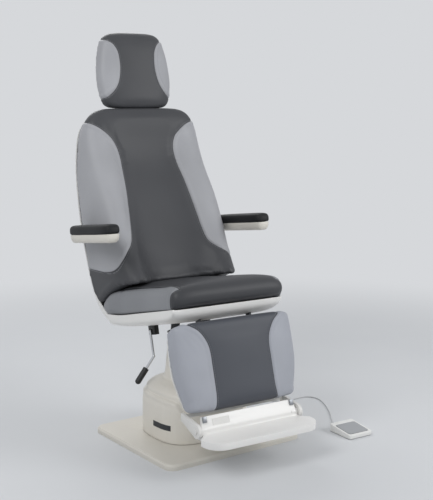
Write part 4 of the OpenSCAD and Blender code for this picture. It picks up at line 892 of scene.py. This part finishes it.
# Two short creases where the cover folds as it turns under, above the seat at each side:
# middle, height and half length, each drawn in with a full fold over it
CREASES = ((-150, 577, 42), (150, 575, 46))
CREASE_BOW, CREASE_IN, FOLD_OUT = 4, 2.8, 1.8
at = points_of(back_pad)
ways = normals_of(back_pad)
front = np.clip(-ways[:, 1] * 2, 0, 1)
for crease_x, crease_z, half_l in CREASES:
    off = at[:, 2] - (crease_z - CREASE_BOW * np.cos((at[:, 0] - crease_x) / half_l))
    ends = np.clip(1.15 - np.abs(at[:, 0] - crease_x) / half_l, 0, 1)
    depth = -CREASE_IN * ridge(off, 0, 4.5) + FOLD_OUT * ridge(off, 11, 7)
    at = at + ways * (depth * ends * front)[:, None]
moved(back_pad, at)
placed(back_pad, "back_cushion", dark_vinyl)


EVEN_STEPS = 12


def pressed(pad, walls, where, most_mm, gap_mm):
    """Lets a pad's foam swell where it stands free, until it nearly meets the walls by it."""
    graph = bpy.context.evaluated_depsgraph_get()
    trees = [BVHTree.FromObject(wall, graph) for wall in walls]
    at, ways = points_of(pad), normals_of(pad)
    grow = np.zeros(len(at))
    share = where(at, ways)
    for i in np.flatnonzero(share > 0):
        seen = [tree.ray_cast(at[i] / 1000, ways[i], (most_mm + gap_mm) / 1000)[3]
                for tree in trees]
        seen = [far * 1000 for far in seen if far is not None]
        grow[i] = max(0, min([most_mm] + [far - gap_mm for far in seen]))
    grow *= share
    pairs = np.empty(2 * len(pad.data.edges), dtype=np.int64)
    pad.data.edges.foreach_get("vertices", pairs)
    pairs = pairs.reshape(-1, 2)
    limit = grow.copy()
    for _ in range(EVEN_STEPS):
        total, count = np.zeros(len(at)), np.zeros(len(at))
        for a, b in ((0, 1), (1, 0)):
            np.add.at(total, pairs[:, a], grow[pairs[:, b]])
            np.add.at(count, pairs[:, a], 1)
        grow = np.minimum((grow + total / count) / 2, limit + 0.5)
    moved(pad, at + ways * grow[:, None])


def edgeways(points, ways):
    """The narrow side of an upright pad, which faces the shell's rim."""
    return np.clip(1.5 * np.hypot(ways[:, 0], ways[:, 2]) - 0.5, 0, 1)


def back_foot(points, ways):
    """The back's underside, which rests on the seat."""
    return ramp(points[:, 2], 650, 610) * np.clip(-2 * ways[:, 2], 0, 1)


def seat_rear(points, ways):
    """The seat's rear end, which runs in under the back."""
    back, up = along_seat(points)
    return ramp(back, 150, 210) * ramp(up, 6, 20)


pressed(back_pad, [back_shell, seat_pad], edgeways, 4, 0.4)
pressed(back_pad, [seat_pad, back_shell], back_foot, 8, 1.0)
pressed(seat_pad, [back_pad, back_shell], seat_rear, 16, 1.0)


# ---------------------------------------------------------------- Headrest
# A padded rest on a thermoformed shell. It tilts on a bar between two chromed posts that
# slide in steel guides inside the back shell. Its cover has a light panel at each side.

eased("headrest_guides", "headrest_guides_welded", 0.8, dark_enamel)
eased("headrest_posts", "headrest_posts_chromed", 0.8, chrome_plate)
head_shell = shell("headrest_shell", "headrest_shell_formed")

HEAD_SEAM = ((210, 1460), (160, 1458), (125, 1455), (108, 1450), (92, 1438), (79, 1412),
             (75, 1380), (75, 1350), (82, 1311), (96, 1279), (121, 1250), (152, 1228),
             (190, 1212))
head_seam = np.array(smooth_route(HEAD_SEAM, 4))
head_pad = upholstered("headrest_cushion", "headrest_cushion_covered", 5, 5,
                       lambda points: beside(out_and_up(points), head_seam),
                       lambda points, ways: -ways[:, 1] + 0.5 * np.abs(ways[:, 0]))
pressed(head_pad, [head_shell], edgeways, 5, 0.4)
placed(head_pad, "headrest_cushion", dark_vinyl)


# ---------------------------------------------------------------- Armrests
# A warm white ABS body under a black integral-skin foam pad, on a steel shaft that a plate
# clamps to the back shell. Each can be swung up.

# Integral-skin polyurethane: near black, matt, with a faint leather grain
skin_foam = finish("black_skin_foam", "#222325", 0.55, 1.8, 0.3, "#1e1f20",
                   Specular_IOR_Level=0.25)
for side in ("left", "right"):
    eased("armrest_bracket_" + side, "armrest_bracket_plated_" + side, 1.2, turned_steel)
    body = copied("armrest_body_" + side, "armrest_cap_" + side)
    fair(body, 1, 42, 0.6)
    bpy.ops.object.shade_smooth_by_angle(angle=math.radians(45))
    placed(body, "armrest_body_" + side, base_abs)
    pad = copied("armrest_pad_" + side, "armrest_pad_moulded_" + side)
    fair(pad, 2, 60, 0.5)
    bpy.ops.object.shade_smooth()
    placed(pad, "armrest_pad_" + side, skin_foam)


# ---------------------------------------------------------------- Brake lever
# A bent chromed rod with a black hand grip works the friction brake of the tilt, in a black
# nylon block under the seat.

eased("brake_block", "brake_block_moulded", 1.5, black_nylon)
eased("lever_rod", "lever_rod_chromed", 0.5, chrome_plate, angle=50)
eased("lever_grip", "lever_grip_moulded", 1.2, black_nylon, angle=50)


# ---------------------------------------------------------------- Leg rest
# A cushion on a formed tray. Two steel bars carry it from the seat's front. A charcoal panel
# runs down its middle between two light side panels.

eased("leg_frame", "leg_frame_welded", 0.8, dark_enamel)
shell("leg_tray", "leg_tray_formed")
LEG_SEAM = ((238, 510), (224, 505), (201, 497), (185, 489), (153, 468), (130, 435), (120, 400),
            (119, 350), (119, 291), (120, 250), (127, 208), (131, 185), (134, 160))
leg_seam = np.array(smooth_route(LEG_SEAM, 4))
leg_vinyl = vinyl("charcoal_and_pale_grey_vinyl_leg", "#4b4e55", "#a6a9b1")
leg_pad = upholstered("leg_cushion", "leg_cushion_covered", 5, 6,
                      lambda points: beside(out_and_up(points), leg_seam),
                      lambda points, ways: -ways[:, 1] * ramp(points[:, 2], 470, 430))
placed(leg_pad, "leg_cushion", leg_vinyl)


# ---------------------------------------------------------------- Footrest
# A white ABS panel and tread that folds up between two coated plates. Two steel pins with
# flat heads, coated too, carry it, and a grey latch at each upper corner holds it.

# Powder coat, off-white
white_coat = finish("off_white_powder_coat", "#e6e5e2", 0.45, 2.0, 0.2, "#dfdedb")
eased("footrest_bracket", "footrest_bracket_coated", 1.5, white_coat)
eased("footrest", "footrest_moulded", 3.0, white_abs, 3)
eased("footrest_pins", "footrest_pins_turned", 0.8, white_coat)
# Zinc-plated latch
zinc = finish("zinc_plate", "#8f9296", 0.4, 1.6, 0.15, "#85888c", Metallic=0.9)
eased("footrest_latches", "footrest_latches_plated", 0.8, zinc)

PANEL_FOOT = (0, -353, 150)
PANEL_SLOPE = math.radians(71)


def on_panel(across, up, out):
    """A place on the footrest's panel, in metres: across it, up its slope and out from it."""
    return (across * MM, (PANEL_FOOT[1] + up * math.cos(PANEL_SLOPE)
                          - out * math.sin(PANEL_SLOPE)) * MM,
            (PANEL_FOOT[2] + up * math.sin(PANEL_SLOPE) + out * math.cos(PANEL_SLOPE)) * MM)


# Blank label place, a plain satin plate, on the panel's left half
plate_blank("footrest_label_blank", (0.066, 0.022, 0.0016), on_panel(-115, 25, 0.6),
            (PANEL_SLOPE, 0, 0), white_coat, "shell_plastic", "foot_rest")


# ---------------------------------------------------------------- Foot switch
# A low off-white wedge on four rubber feet, with a grey rocker plate across its slope and a
# gland for the cord at its back.

# ABS, off-white, matt; ABS, mid grey, finely textured; nitrile rubber
switch_abs = finish("off_white_switch_abs", "#e9e9e7", 0.42, 1.4, 0.2, "#e3e3e0", IOR=1.53)
rocker_abs = finish("grey_rocker_abs", "#a3a5a8", 0.48, 1.2, 0.3, "#9c9ea1", IOR=1.53)
nitrile = finish("black_nitrile", "#202122", 0.75, 1.5, 0.3, "#262728")
switch = eased("switch_body", "switch_body_moulded", 2.0, switch_abs, 3)
# Two round blank buttons on the strip behind the rocker
BUTTON_XS, STRIP_Y = (466, 518), -247
buttons = copies(round_head(5, 1.6, 0.25, 0.8), "switch_button_left", "switch_button_right")
strip = BVHTree.FromObject(switch, bpy.context.evaluated_depsgraph_get())
for button, x in zip(buttons, BUTTON_XS):
    at, way, _, _ = strip.ray_cast((x * MM, STRIP_Y * MM, 0.2), (0, 0, -1))
    laid(button, at, way.to_track_quat("Z", "Y").to_euler(), switch_abs, "switch_plastic",
         "base")
eased("switch_rocker", "switch_rocker_moulded", 1.2, rocker_abs)
eased("switch_gland", "switch_gland_moulded", 0.8, grey_nylon)
dressed(nitrile, "switch_feet")
